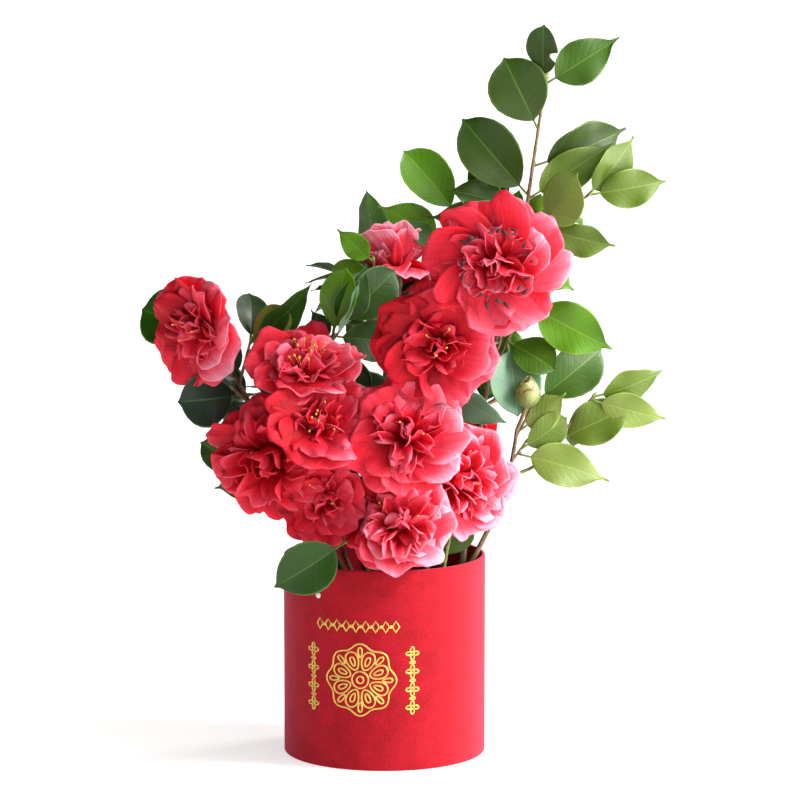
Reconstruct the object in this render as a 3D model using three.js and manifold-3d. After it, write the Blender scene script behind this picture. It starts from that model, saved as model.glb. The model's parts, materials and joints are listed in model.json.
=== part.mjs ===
// A potted camellia in bloom: a round flock-covered planter filled with soil, slim stems that rise
// from it and fork into boughs, double red blooms on their own twigs, one bud, and sprays of leaves.
// Millimetres, +Z up. The origin is the centre of the planter's flat underside, and -Y is the front.
import * as THREE from 'three';
import { mergeVertices } from 'three/addons/utils/BufferGeometryUtils.js';
import Module from 'manifold-3d';

const wasm = await Module();
wasm.setup();

// ---------------------------------------------------------------- driving dimensions

const POT = { radius: 75, height: 149, wall: 2.6, floor: 3, round: 1.3, sides: 40 };
const SOIL_BELOW_RIM = 25;
const GAP = 0.3;                    // clearance between neighbouring pieces
const LEAF_THICK = 1.6;             // at the midrib; the blade thins to a sharp edge
const BLADE = [[0.28, 0.94], [0.64, 0.88]];   // along the blade, and its share of the leaf's width
const PETIOLE_RADIUS = 0.8;
const PETIOLE_SHARE = 0.14;         // part of a leaf's length that is its stalk
const STALK_RADIUS = 1.5;
const BLOOM_DEPTH = 0.17;            // height of the open petals over the bloom's base, by its diameter
const LIMB_SIDES = 6;
const GOLDEN_ANGLE = 137.5;
const SOIL_TOP = POT.height - SOIL_BELOW_RIM;
const FOOT = SOIL_TOP + GAP;        // the flat cut at the foot of every stem
const ROOT = FOOT - 1.5;            // where a stem's curve starts, before that cut

// Stems: foot, tip, how far the middle bows out, radius at the foot and at the tip.
const STEMS = {
  main_stem: [[56, 8, ROOT], [106, 25, 408], [-6, 4, 0], 3.1, 1.5],
  right_stem: [[50, -14, ROOT], [98, -2, 242], [9, -2, 0], 2.2, 1.3],
  front_stem: [[42, -30, ROOT], [56, -20, 192], [-3, -8, 0], 1.8, 1.3],
  left_stem: [[-18, -14, ROOT], [-42, -34, 184], [-2, 2, 4], 1.9, 1.3],
  centre_stem: [[6, -4, ROOT], [34, -32, 298], [-6, 6, 0], 2.8, 1.5],
  inner_stem: [[-12, 6, ROOT], [-54, -22, 272], [4, 8, 0], 2.6, 1.5],
  far_left_stem: [[-26, 14, ROOT], [-122, 12, 300], [-8, 4, 14], 2.8, 1.4],
  back_stem: [[2, 26, ROOT], [12, 40, 345], [-10, 8, 0], 2.8, 1.4],
  rear_stem: [[30, 32, ROOT], [58, 66, 300], [0, 12, 0], 2.6, 1.4],
};

// Boughs: the limb that carries it, where along that limb, tip, bow, radius at its foot and tip.
const BOUGHS = {
  bough_of_bloom_1: ['main_stem', 0.6, [84, -42, 360], [4, -6, -8], 1.7, 1.3],
  bough_of_bloom_5: ['inner_stem', 0.7, [-48, -46, 246], [2, -4, -6], 1.6, 1.3],
  bough_of_bloom_6: ['far_left_stem', 0.42, [-78, -26, 224], [-4, -2, -4], 1.7, 1.3],
  bough_of_bloom_8: ['centre_stem', 0.62, [16, -50, 240], [0, -6, -6], 1.7, 1.3],
  bough_of_bloom_10: ['centre_stem', 0.2, [10, -46, 168], [0, -4, -4], 1.7, 1.3],
  right_bough: ['right_stem', 0.72, [126, 2, 231], [4, 0, -4], 1.4, 1.1],
  upper_bough: ['back_stem', 0.8, [40, 46, 372], [4, 2, -4], 1.6, 1.2],
  rear_left_bough: ['back_stem', 0.4, [-48, 58, 230], [-6, 8, -6], 1.8, 1.3],
  rear_right_bough: ['rear_stem', 0.4, [60, 78, 214], [2, 8, -8], 1.7, 1.3],
};

// Blooms, from the front of the cluster to the back: limb, centre of the open petals, diameter, and
// which way it faces: degrees round from the front (to the right is +) and degrees up.
const BLOOMS = {
  bloom_1: ['bough_of_bloom_1', [81, -85, 374], 104, -3, 2],
  bloom_2: ['centre_stem', [38, -76, 314], 98, -4, 0],
  bloom_4: ['inner_stem', [-56, -47, 300], 92, 4, 59],
  bloom_8: ['bough_of_bloom_8', [17, -84, 252], 88, 4, 20],
  bloom_5: ['bough_of_bloom_5', [-47, -78, 261], 84, 4, 34],
  bloom_6: ['bough_of_bloom_6', [-85, -60, 228], 94, -14, -4],
  bloom_7: ['left_stem', [-45, -62, 199], 70, -8, 4],
  bloom_10: ['bough_of_bloom_10', [10, -78, 187], 86, 0, 30],
  bloom_3: ['far_left_stem', [-142, -10, 317], 88, -42, 0],
  bloom_9: ['front_stem', [60, -45, 210], 88, 20, 2],
  bloom_11: ['back_stem', [7, 50, 373], 68, -160, 55],
  bloom_12: ['rear_left_bough', [-50, 84, 236], 84, -168, 8],
  bloom_13: ['rear_right_bough', [58, 104, 222], 84, 160, 6],
};
// Studs of the planter's wall: degrees round from the front.
const STUDS = { front_stud: -40, rear_stud: 140 };
const STUD = { radius: 2.2, stand: 1.1, below_rim: 21 };

const PETALS = 7;
const PETAL_STEPS = 3;              // points of the outline to a petal
const BLOOM_RINGS = {
  // Rings from under the bloom to its heart, in shares of its radius: out, up, how far the petals
  // part there, how far the heart's small petals stand out there.
  calyx_tip: [0, -0.14, 0, 0],
  calyx: [0.16, -0.04, 0, 0],
  under_petals: [0.45, 0.26, 0, 0],
  under_edge: [1, 0.31, 1, 0],
  edge: [1, 0.34, 1, 0],
  over_petals: [0.56, 0.31, 0, 0.1],
  heart_side: [0.47, 0.5, 0, 1],
  heart_top: [0.26, 0.58, 0, -1],
  heart_hollow: [0, 0.46, 0, 0],
};
const PARTING = 0.11;               // how deep the petals part at the edge
const HEART_RUFFLE = 0.1;           // how far the heart's small petals stand out
const BUD = { limb: 'right_stem', foot: [105, -8, 260], tip: [107, -10, 281], radius: 9 };

// Leaf sprays: limb, where along it, tip of the spray's twig, radius of the twig's foot, and its
// leaves. A leaf is: where along the twig, heading in degrees (0 right, 90 up, as seen from the
// front), degrees that it leans towards the front, length, roll about its midrib, width by length.
const SPRAYS = {
  top_spray: ['main_stem', 1, [119, 20, 499], 1.4, [
    [0.06, 131, 10, 75, 0, 0.56], [0.03, 31, 10, 71, -15, 0.45], [0.3, 25, 0, 78, -10, 0.42],
    [0.6, 116, 15, 60, 0, 0.74], [0.97, 32, 5, 66, 0, 0.5], [1, 98, 40, 52, 10, 0.56]]],
  top_right_spray: ['main_stem', 0.88, [151, 14, 415], 1.2, [
    [0.45, 62, 15, 56, 170, 0.6], [0.15, 28, 0, 50, 70, 0.4], [0.4, -23, 5, 55, 0, 0.48],
    [0.95, 45, -5, 61, 20, 0.46], [1, 9, 0, 61, 0, 0.48], [0.02, -38, 0, 58, 0, 0.5]]],
  upper_left_spray: ['main_stem', 0.97, [86, 32, 412], 1.1, [
    [0.6, 128, -20, 57, -10, 0.6], [0.4, 161, 15, 53, 30, 0.5]]],
  upper_back_spray: ['upper_bough', 1, [56, 46, 398], 1.1, [
    [0.95, 128, 0, 64, 20, 0.56], [0.35, 156, 5, 56, 0, 0.5], [0.1, 145, 20, 36, 30, 0.5]]],
  left_back_spray: ['back_stem', 0.72, [-8, 32, 363], 1.1, [
    [1, 138, 10, 38, 0, 0.5], [0.85, 168, 5, 34, 0, 0.6], [0.5, 170, -30, 50, 0, 0.5]]],
  middle_spray: ['inner_stem', 0.93, [-36, -8, 322], 1.2, [
    [0.85, 63, 10, 56, -10, 0.68], [1, 38, 0, 62, 10, 0.56], [0.8, 125, 0, 28, 0, 0.5],
    [0.75, 58, 14, 54, 75, 0.4], [0.75, -62, 0, 52, 0, 0.6]]],
  left_spray: ['far_left_stem', 0.8, [-99, 4, 308], 1.2, [
    [0.95, 86, -20, 42, 20, 0.6], [1, 36, 15, 64, 45, 0.5], [0.9, 44, 0, 42, 180, 0.6],
    [0.7, 40, -20, 52, 0, 0.5], [0.2, 121, 10, 36, 20, 0.6]]],
  left_low_spray: ['far_left_stem', 0.7, [-112, 0, 272], 1.2, [
    [0.6, 185, 20, 47, 0, 0.86], [0.7, 124, 10, 31, 50, 0.4], [0.1, 130, 0, 38, 20, 0.6],
    [0.1, 235, -10, 36, 0, 0.55]]],
  far_left_spray: ['far_left_stem', 0.97, [-136, 18, 312], 1.1, [
    [1, 159, -10, 54, 10, 0.8], [0.6, 95, -30, 50, 0, 0.5]]],
  right_upper_spray: ['main_stem', 0.54, [105, 6, 335], 1.2, [
    [1, -28, 10, 73, 0, 0.52], [0.5, -84, 20, 52, 0, 0.64], [0.5, -24, 30, 44, -30, 0.7],
    [0.1, -47, 5, 40, 0, 0.5]]],
  bud_spray: ['right_stem', 0.95, [112, 6, 262], 1, [
    [1, 37, 0, 66, 0, 0.56], [0.2, 36, -5, 46, 160, 0.55]]],
  right_spray: ['right_bough', 1, [154, 0, 266], 1, [
    [0.05, 27, 10, 67, -10, 0.5], [1, 14, -5, 60, 20, 0.46], [0.95, -16, 5, 62, 0, 0.42],
    [0.6, -95, -10, 30, 0, 0.5]]],
  right_low_spray: ['right_stem', 0.8, [104, -4, 232], 1, [
    [0.45, -12, 10, 74, -20, 0.44], [0.7, 32, 0, 42, 10, 0.6]]],
  centre_spray: ['centre_stem', 0.86, [52, -16, 276], 1, [
    [0.8, -36, 15, 52, 30, 0.5], [0.9, -100, -15, 46, 0, 0.5]]],
  low_left_spray: ['left_stem', 0.78, [-46, -68, 170], 1.1, [
    [0.35, -129, 5, 64, 0, 0.62]]],
  low_centre_spray: ['centre_stem', 0.1, [40, -20, 147], 1, [
    [1, 58, 0, 40, 180, 0.7], [0.4, -165, 20, 40, 0, 0.5]]],
  low_far_left_spray: ['far_left_stem', 0.34, [-100, -6, 212], 1, [
    [1, 150, 5, 42, 0, 0.6], [0.6, 195, -10, 46, 0, 0.5]]],
};

// Sprays of the hidden side, whose leaves follow the rule alone: limb, where along it, tip of the
// twig, number of leaves, seed.
const RULED_SPRAYS = {
  rear_top_spray: ['main_stem', 0.8, [100, 62, 392], 8, 3],
  rear_upper_spray: ['back_stem', 0.9, [-14, 82, 352], 9, 11],
  rear_left_spray: ['rear_left_bough', 0.45, [-82, 66, 262], 8, 5],
  rear_middle_spray: ['rear_stem', 0.9, [26, 96, 292], 9, 8],
  rear_right_spray: ['rear_stem', 0.66, [104, 66, 270], 8, 13],
  rear_low_spray: ['back_stem', 0.16, [-4, 78, 180], 7, 21],
  rear_far_left_spray: ['far_left_stem', 0.6, [-112, 52, 250], 8, 55],
};
const RULED_LEAF = { length: 62, width: 0.52, first: 0.22, spread: 62, closing: 20 };
// The room that the ruled leaves keep to, by height: from its left edge to its right edge.
const REAR_ROOM = { low: 130, left: -67, right: 67, flare: 0.5, shoulder: 300, slope: 1.3 };

// ---------------------------------------------------------------- colours

const finish = (color, roughness) => new THREE.MeshStandardMaterial({ color, roughness, metalness: 0 });
const FLOCK = finish(0xb3152a, 0.95);
const WHITE = finish(0xe9e4dc, 0.5);
const EARTH = finish(0x2e2018, 1);
const BARK = finish(0x6d5136, 0.85);
const GREEN_BARK = finish(0x7c8a3e, 0.7);
const PETAL = finish(0xe02b45, 0.6);
const BUD_SCALE = finish(0xa9b56a, 0.6);
const LEAF = finish(0x2f6b26, 0.4);

// ---------------------------------------------------------------- small helpers

const vec = (a) => new THREE.Vector3(...a);
const radians = THREE.MathUtils.degToRad;
const lerp = THREE.MathUtils.lerp;

// A repeatable stream of numbers from 0 to 1.
function seeded(seed) {
  let state = seed * 7919 + 17;
  return () => {
    state = (state * 1103515245 + 12345) % 2147483648;
    return state / 2147483648;
  };
}

// A unit vector from a heading in the front plane and a lean towards the front, in degrees.
function headingVector(heading, lean) {
  const [h, w] = [radians(heading), radians(lean)];
  return vec([Math.cos(h) * Math.cos(w), -Math.sin(w), Math.sin(h) * Math.cos(w)]);
}

// The part of a vector that is square to a direction, at unit length.
function squareTo(vector, direction) {
  return vector.clone().addScaledVector(direction, -vector.dot(direction)).normalize();
}

// The gentle curve of a limb: from foot to tip, its middle moved by bow.
function limbCurve(foot, tip, bow) {
  const middle = foot.clone().add(tip).multiplyScalar(0.5).addScaledVector(bow, 2);
  return new THREE.QuadraticBezierCurve3(foot, middle, tip);
}

// ---------------------------------------------------------------- solids

// A manifold solid from a closed three.js geometry, without its collapsed triangles.
function solidOf(geometry) {
  const bare = geometry.index ? geometry.toNonIndexed() : geometry.clone();
  bare.deleteAttribute('normal');
  bare.deleteAttribute('uv');
  const merged = mergeVertices(bare, 1e-4);
  const kept = [];
  for (let i = 0; i < merged.index.count; i += 3) {
    const [a, b, c] = [0, 1, 2].map((k) => merged.index.getX(i + k));
    if (a !== b && b !== c && a !== c) kept.push(a, b, c);
  }
  const vertProperties = new Float32Array(merged.attributes.position.array);
  return new wasm.Manifold(new wasm.Mesh({ numProp: 3, vertProperties, triVerts: new Uint32Array(kept) }));
}

function joined(solids) {
  return solids.reduce((sum, one) => sum.add(one));
}

function boxesMeet(one, other) {
  const [a, b] = [one.boundingBox(), other.boundingBox()];
  return [0, 1, 2].every((k) => a.min[k] <= b.max[k] && b.min[k] <= a.max[k]);
}

function touches(one, other) {
  return boxesMeet(one, other) && one.intersect(other).volume() > 0;
}

// The solid with room cut for each of the others, as its one largest body.
function cutClear(solid, others) {
  let cut = solid;
  for (const other of others) if (boxesMeet(cut, other)) cut = cut.subtract(other);
  const bodies = cut.decompose();
  return bodies.reduce((best, body) => (body.volume() > best.volume() ? body : best));
}

// A tapering tube along a curve with flat ends. grow makes it that much larger all round.
function limb(curve, footRadius, tipRadius, { steps = 5, sides = LIMB_SIDES, flare = 0, grow = 0 } = {}) {
  const tube = new THREE.CylinderGeometry(1, 1, 1, sides, steps);
  const place = tube.attributes.position;
  const length = curve.getLength();
  const along = curve.getPoint(1).sub(curve.getPoint(0)).normalize();
  const reference = Math.abs(along.y) < 0.8 ? vec([0, 1, 0]) : vec([1, 0, 0]);
  for (let i = 0; i < place.count; i += 1) {
    const t = place.getY(i) + 0.5;
    const tangent = curve.getTangent(t);
    const side = squareTo(reference, tangent);
    const across = side.clone().cross(tangent);
    const swell = 1 + flare * Math.exp(-t * length / 8);
    const radius = lerp(footRadius, tipRadius, t) * swell + grow;
    const point = curve.getPoint(t)
      .addScaledVector(tangent, grow * (2 * t - 1) * (t === 0 || t === 1 ? 1 : 0))
      .addScaledVector(side, place.getX(i) * radius)
      .addScaledVector(across, place.getZ(i) * radius);
    place.setXYZ(i, point.x, point.y, point.z);
  }
  return solidOf(tube);
}

// A closed solid through sections that all have the same number of points, with flat ends.
function loft(sections) {
  const around = sections[0].length;
  const index = [];
  for (let j = 0; j + 1 < sections.length; j += 1) {
    for (let i = 0; i < around; i += 1) {
      const [a, b] = [j * around + i, j * around + ((i + 1) % around)];
      index.push(a, b, b + around, a, b + around, a + around);
    }
  }
  const last = (sections.length - 1) * around;
  for (let i = 1; i + 1 < around; i += 1) {
    index.push(0, i + 1, i, last, last + i, last + i + 1);
  }
  const geometry = new THREE.BufferGeometry();
  const values = sections.flat().flatMap((point) => point.toArray());
  geometry.setAttribute('position', new THREE.Float32BufferAttribute(values, 3));
  geometry.setIndex(index);
  return solidOf(geometry);
}

// ---------------------------------------------------------------- a leaf

// A leaf on its stalk, folded along its midrib, drooping to its tip and thinning to a sharp edge:
// base point, direction, the side that its face looks to, length, width, fold and droop in degrees.
function leaf({ base, direction, face, length, width, fold = 16, droop = 20, grow = 0 }) {
  const stalk = length * PETIOLE_SHARE;
  const blade = length - stalk;
  const side = direction.clone().cross(face).normalize();
  const section = (reach, half, thick, bend) => {
    const turn = radians(droop) * bend;
    const middle = base.clone()
      .addScaledVector(direction, reach * Math.cos(turn))
      .addScaledVector(face, -reach * Math.sin(turn) * 0.8);
    const up = half > 2 ? half * Math.sin(radians(fold)) : 0;
    const point = (u, w) => middle.clone()
      .addScaledVector(side, u * half)
      .addScaledVector(face, Math.abs(u) * up + w);
    return [point(-1, grow), point(0, thick), point(1, grow),
      point(1, -grow), point(0, -thick), point(-1, -grow)];
  };
  const stem = PETIOLE_RADIUS + grow;
  const thick = LEAF_THICK / 2 + grow;
  const sections = [section(-grow, stem, stem, 0), section(stalk, stem, stem, 0.1)];
  for (const [v, share] of BLADE) {
    const half = (width / 2) * share + grow;
    sections.push(section(stalk + blade * v, half, thick, v));
  }
  sections.push(section(length + grow, grow, grow, 1));
  return loft(sections);
}

// ---------------------------------------------------------------- a bloom

// The bloom's own axes: right, up and the way it faces, with its base behind the open petals.
function bloomFrame(centre, diameter, round, up) {
  const [a, e] = [radians(round), radians(up)];
  const facing = vec([Math.sin(a) * Math.cos(e), -Math.cos(a) * Math.cos(e), Math.sin(e)]);
  const right = vec([0, 0, 1]).cross(facing).normalize();
  const upward = facing.clone().cross(right);
  const base = vec(centre).addScaledVector(facing, -diameter * BLOOM_DEPTH);
  return { base, right, upward, facing, radius: diameter / 2, depth: diameter * BLOOM_DEPTH };
}

// Moves a point of a bloom behind the open petals of the blooms that stand in front of it.
function pressedBehind(point, frames) {
  for (const front of frames) {
    const offset = point.clone().sub(front.base);
    const height = offset.dot(front.facing);
    const out = offset.addScaledVector(front.facing, -height).length();
    const petals = front.depth * Math.min(1, out / (0.55 * front.radius));
    const room = petals - 3 - height;
    const near = THREE.MathUtils.smoothstep(1.08 * front.radius - out, 0, 0.16 * front.radius);
    if (room < 0 && height < front.depth + 26) point.addScaledVector(front.facing, room * near);
  }
  return point;
}

// The bloom from its calyx over the petals' lobed edge to the ruffled heart, as one solid.
function corolla(frame, front, turn, grow) {
  const around = PETALS * PETAL_STEPS;
  const rings = Object.values(BLOOM_RINGS);
  const sections = rings.map(([out, up, parts, ruffle], j) => {
    const [before, after] = [rings[Math.max(j - 1, 0)], rings[Math.min(j + 1, rings.length - 1)]];
    const run = new THREE.Vector2(after[0] - before[0], after[1] - before[1]).normalize();
    const points = [];
    for (let i = 0; i < around; i += 1) {
      const angle = radians(turn + (360 * i) / around);
      const valley = Math.abs((2 * (i % PETAL_STEPS)) / PETAL_STEPS - 1) ** 2;
      const stand = HEART_RUFFLE * ruffle * Math.sin(i * 2.4 + turn);
      const share = out * (1 + stand) - parts * PARTING * valley;
      const [x, y] = out ? [share * frame.radius + run.y * grow, -run.x * grow] : [0, up < 0 ? -grow : grow];
      const radial = frame.right.clone().multiplyScalar(Math.cos(angle))
        .addScaledVector(frame.upward, Math.sin(angle));
      points.push(pressedBehind(frame.base.clone()
        .addScaledVector(radial, x)
        .addScaledVector(frame.facing, (up + stand * 0.6 - parts * 0.07 * valley) * frame.radius + y), front));
    }
    return points;
  });
  return loft(sections);
}

// An egg shape between two points, for a bud, a calyx and the heart of a bloom.
function egg(foot, tip, radius, { sides = 8, rings = 5, blunt = 1 } = {}) {
  const ball = new THREE.SphereGeometry(1, sides, rings);
  const place = ball.attributes.position;
  const along = tip.clone().sub(foot);
  const direction = along.clone().normalize();
  const side = squareTo(Math.abs(direction.y) < 0.8 ? vec([0, 1, 0]) : vec([1, 0, 0]), direction);
  const across = side.clone().cross(direction);
  for (let i = 0; i < place.count; i += 1) {
    const t = (place.getY(i) + 1) / 2;
    const wide = radius * (1 - (1 - blunt) * t);
    const point = foot.clone().addScaledVector(along, t)
      .addScaledVector(side, place.getX(i) * wide)
      .addScaledVector(across, place.getZ(i) * wide);
    place.setXYZ(i, point.x, point.y, point.z);
  }
  return solidOf(ball);
}

// A whole bloom on the twig that carries it from its limb's tip.
function bloom(frame, front, limbTip, limbDirection, seed, grow = 0) {
  const turn = seeded(seed)() * 360;
  const calyx = frame.base.clone().addScaledVector(frame.facing, -0.14 * frame.radius);
  const middle = limbTip.clone().addScaledVector(limbDirection, limbTip.distanceTo(calyx) * 0.5);
  const twig = new THREE.QuadraticBezierCurve3(limbTip.clone(), middle, frame.base.clone());
  return corolla(frame, front, turn, grow)
    .add(limb(twig, STALK_RADIUS * 0.9, STALK_RADIUS, { steps: 2, sides: 5, grow }));
}

// ---------------------------------------------------------------- building in order

// Everything made so far: its solid, its material, and the same piece grown by the gap.
const made = new Map();
const rooms = () => [...made.values()].map((piece) => piece.room).filter(Boolean);

function keep(name, solid, room, material) {
  made.set(name, { solid, room, material });
}

function lathe(profile) {
  const points = profile.map(([x, y]) => new THREE.Vector2(x, y));
  return new THREE.LatheGeometry(points, POT.sides).rotateX(Math.PI / 2);
}

// The planter's wall and floor in section, as a closed line turned about Z.
function planterSection(grow) {
  const { radius, height, wall, floor, round } = POT;
  const [outer, inner, top] = [radius + grow, radius - wall - grow, height + grow];
  const rim = [];
  for (let i = 0; i <= 3; i += 1) {
    const angle = (Math.PI * i) / 3;
    const middle = (outer + inner) / 2;
    rim.push([middle + ((outer - inner) / 2) * Math.cos(angle), top - round + round * Math.sin(angle)]);
  }
  return [[0, 0], [outer - round, 0], [outer, round], ...rim, [inner, floor + grow], [0, floor + grow]];
}

function planter() {
  keep('planter', solidOf(lathe(planterSection(0))), solidOf(lathe(planterSection(GAP))), FLOCK);
}

function soil() {
  const radius = POT.radius - POT.wall - GAP;
  const low = POT.floor + GAP;
  const section = (top) => [[0, low], [radius, low], [radius, top - 2], [radius - 4, top], [0, top]];
  keep('soil', solidOf(lathe(section(SOIL_TOP))), solidOf(lathe(section(FOOT))), EARTH);
}

function studs() {
  for (const [name, round] of Object.entries(STUDS)) {
    const dome = new THREE.LatheGeometry([[0, 0], [STUD.radius, 0], [STUD.radius * 0.8, STUD.stand * 0.7],
      [0, STUD.stand]].map(([x, y]) => new THREE.Vector2(x, y)), 8);
    dome.rotateX(Math.PI).translate(0, -POT.radius - 0.1, POT.height - STUD.below_rim).rotateZ(radians(round));
    keep(name, solidOf(dome), null, WHITE);
  }
}

const curves = new Map();

function growLimb(name, foot, tip, bow, footRadius, tipRadius, options) {
  const curve = limbCurve(foot, vec(tip), vec(bow));
  curves.set(name, curve);
  const solid = cutClear(limb(curve, footRadius, tipRadius, options), rooms());
  const room = limb(curve, footRadius, tipRadius, { ...options, grow: GAP });
  const material = tipRadius < 1.2 || name === 'front_stem' || name === 'right_bough' ? GREEN_BARK : BARK;
  keep(name, solid, room, material);
}

function stems() {
  for (const [name, [foot, tip, bow, footRadius, tipRadius]] of Object.entries(STEMS)) {
    growLimb(name, vec(foot), tip, bow, footRadius, tipRadius, { flare: 0.4 });
  }
}

function boughs() {
  for (const [name, [parent, at, tip, bow, footRadius, tipRadius]] of Object.entries(BOUGHS)) {
    growLimb(name, curves.get(parent).getPoint(at), tip, bow, footRadius, tipRadius, { steps: 4 });
  }
}

function blooms() {
  const front = [];
  Object.entries(BLOOMS).forEach(([name, [parent, centre, diameter, round, up]], i) => {
    const frame = bloomFrame(centre, diameter, round, up);
    const curve = curves.get(parent);
    const near = front.filter((other) => other.facing.dot(frame.facing) > 0.2);
    const make = (grow) => bloom(frame, near, curve.getPoint(1), curve.getTangent(1), i + 1, grow);
    keep(name, cutClear(make(0), rooms()), make(GAP), PETAL);
    front.push(frame);
  });
}

function bud() {
  const curve = curves.get(BUD.limb);
  const make = (grow) => {
    const foot = vec(BUD.foot);
    const twig = limbCurve(curve.getPoint(1), foot.clone().lerp(vec(BUD.tip), 0.3), vec([1, 0, 1]));
    const scales = egg(foot.clone().add(vec([0, 0, -grow])), vec(BUD.tip).add(vec([0, 0, grow])),
      BUD.radius + grow, { blunt: 0.75, sides: 8, rings: 5 });
    return scales.add(limb(twig, 1.2, 1.6, { steps: 2, sides: 5, grow }));
  };
  keep('bud', cutClear(make(0), rooms()), make(GAP), BUD_SCALE);
}

// A spray whose leaves are listed, each cut clear of what stands before it.
function listedSpray(name, [parent, at, tip, radius, leaves], seed) {
  const random = seeded(seed);
  const twig = limbCurve(curves.get(parent).getPoint(at), vec(tip), vec([0, 0, 0]));
  const front = vec([0, -1, 0]);
  const grown = leaves.map(([where, heading, lean, length, roll, share]) => {
    const direction = headingVector(heading, lean);
    const face = squareTo(front, direction).applyAxisAngle(direction, radians(roll));
    const [fold, droop] = [8 + 14 * random(), 8 + 14 * random()];
    return { base: twig.getPoint(where), direction, face, length, width: share * length, fold, droop };
  });
  const make = (grow) => joined([limb(twig, radius, radius * 0.75, { steps: 2, sides: 4, grow }),
    ...grown.map((one) => leaf({ ...one, grow }))]);
  keep(name, cutClear(make(0), rooms()), make(GAP), LEAF);
}

function insideRear({ x, z }) {
  const { low, left, right, flare, shoulder, slope } = REAR_ROOM;
  const height = z - low;
  const over = Math.max(0, z - shoulder) * (slope + flare);
  return height > 0 && x > left - flare * height + over && x < right + flare * height;
}

// A spray whose leaves turn round the twig by the golden angle. One that would touch is left out.
function ruledSpray(name, [parent, at, tip, count, seed]) {
  const random = seeded(seed);
  const twig = limbCurve(curves.get(parent).getPoint(at), vec(tip), vec([0, 0, -4]));
  const others = rooms();
  const chosen = [];
  for (let i = 0; i < count; i += 1) {
    const share = i / (count - 1);
    const where = lerp(RULED_LEAF.first, 1, share);
    const tangent = twig.getTangent(where);
    const spread = radians(RULED_LEAF.spread - RULED_LEAF.closing * share);
    const turn = radians(GOLDEN_ANGLE * i + 40 * random());
    const aside = squareTo(vec([0, 0, 1]), tangent).applyAxisAngle(tangent, turn);
    const direction = tangent.multiplyScalar(Math.cos(spread)).addScaledVector(aside, Math.sin(spread));
    const outward = vec([direction.x, direction.y, 0.9]).normalize();
    const face = squareTo(outward, direction);
    const length = RULED_LEAF.length * (0.85 + 0.25 * random());
    const one = { base: twig.getPoint(where), direction, face, length, width: length * RULED_LEAF.width,
      fold: 8 + 16 * random(), droop: 10 + 25 * random() };
    const tip = one.base.clone().addScaledVector(direction, length);
    const room = leaf({ ...one, grow: GAP });
    if (insideRear(tip) && !others.some((other) => touches(room, other))) chosen.push(one);
  }
  const make = (grow) => joined([limb(twig, 1.3, 0.9, { steps: 2, sides: 4, grow }),
    ...chosen.map((one) => leaf({ ...one, grow }))]);
  keep(name, cutClear(make(0), others), make(GAP), LEAF);
}

// ---------------------------------------------------------------- the assembly

planter();
soil();
studs();
stems();
boughs();
blooms();
bud();
Object.entries(SPRAYS).forEach(([name, spray], i) => listedSpray(name, spray, 100 + i));
Object.entries(RULED_SPRAYS).forEach(([name, spray]) => ruledSpray(name, spray));

const plant = new THREE.Group();
for (const [name, { solid, material }] of made) {
  const { numProp, vertProperties, triVerts } = solid.getMesh();
  const geometry = new THREE.BufferGeometry();
  geometry.setAttribute('position', new THREE.Float32BufferAttribute(vertProperties, numProp));
  geometry.setIndex(new THREE.Uint32BufferAttribute(triVerts, 1));
  geometry.computeVertexNormals();
  const mesh = new THREE.Mesh(geometry, material);
  mesh.name = name;
  plant.add(mesh);
}

export default plant;
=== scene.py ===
# %% [markdown]
# # A potted camellia, piece by piece
# The model is a small camellia shrub in a round planter: slim stems rise from the soil, fork into
# boughs, and carry thirteen ruffled double blooms, one bud and sprays of glossy pointed leaves.
# The solids of the part are loaded first as a fixed frame. They say where everything stands, and
# each piece made below takes the place of some of them without moving them.

# %% Load the fixed frame
import json
import math
import bpy
import numpy as np
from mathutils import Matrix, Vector, noise

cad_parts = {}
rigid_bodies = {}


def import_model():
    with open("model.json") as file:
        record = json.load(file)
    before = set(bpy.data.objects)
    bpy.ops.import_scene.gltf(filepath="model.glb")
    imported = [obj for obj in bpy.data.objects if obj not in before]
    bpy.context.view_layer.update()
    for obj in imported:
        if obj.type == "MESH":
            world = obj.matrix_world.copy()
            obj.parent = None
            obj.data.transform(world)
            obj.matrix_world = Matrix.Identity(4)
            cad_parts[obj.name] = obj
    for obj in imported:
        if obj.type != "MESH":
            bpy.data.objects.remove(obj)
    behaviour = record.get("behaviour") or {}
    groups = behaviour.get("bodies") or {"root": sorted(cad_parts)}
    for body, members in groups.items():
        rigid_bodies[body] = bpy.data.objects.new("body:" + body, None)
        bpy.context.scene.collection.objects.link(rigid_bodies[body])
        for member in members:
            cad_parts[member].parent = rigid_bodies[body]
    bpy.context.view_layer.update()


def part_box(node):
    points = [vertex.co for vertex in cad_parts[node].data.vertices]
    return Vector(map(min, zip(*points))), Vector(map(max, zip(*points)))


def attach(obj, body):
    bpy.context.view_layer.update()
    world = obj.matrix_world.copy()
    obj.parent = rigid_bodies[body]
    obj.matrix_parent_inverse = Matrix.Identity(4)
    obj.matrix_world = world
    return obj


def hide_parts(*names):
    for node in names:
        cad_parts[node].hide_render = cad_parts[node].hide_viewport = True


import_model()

# %% [markdown]
# ## The camera
# The plant is seen from a little above, from far away through a long lens, so its upright lines
# stay upright. A long lens is a long focal length over the sensor's width. The camera is made
# first, because every later step is judged by what it sees.

# %% Place the camera
scene = bpy.context.scene
CAMERA_AT = (0.0116, -3.0, 0.693)
LOOK_DOWN = 8.14


def linked(name, data):
    """A new object with the data given, linked into the scene."""
    made = bpy.data.objects.new(name, data)
    scene.collection.objects.link(made)
    return made


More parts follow.
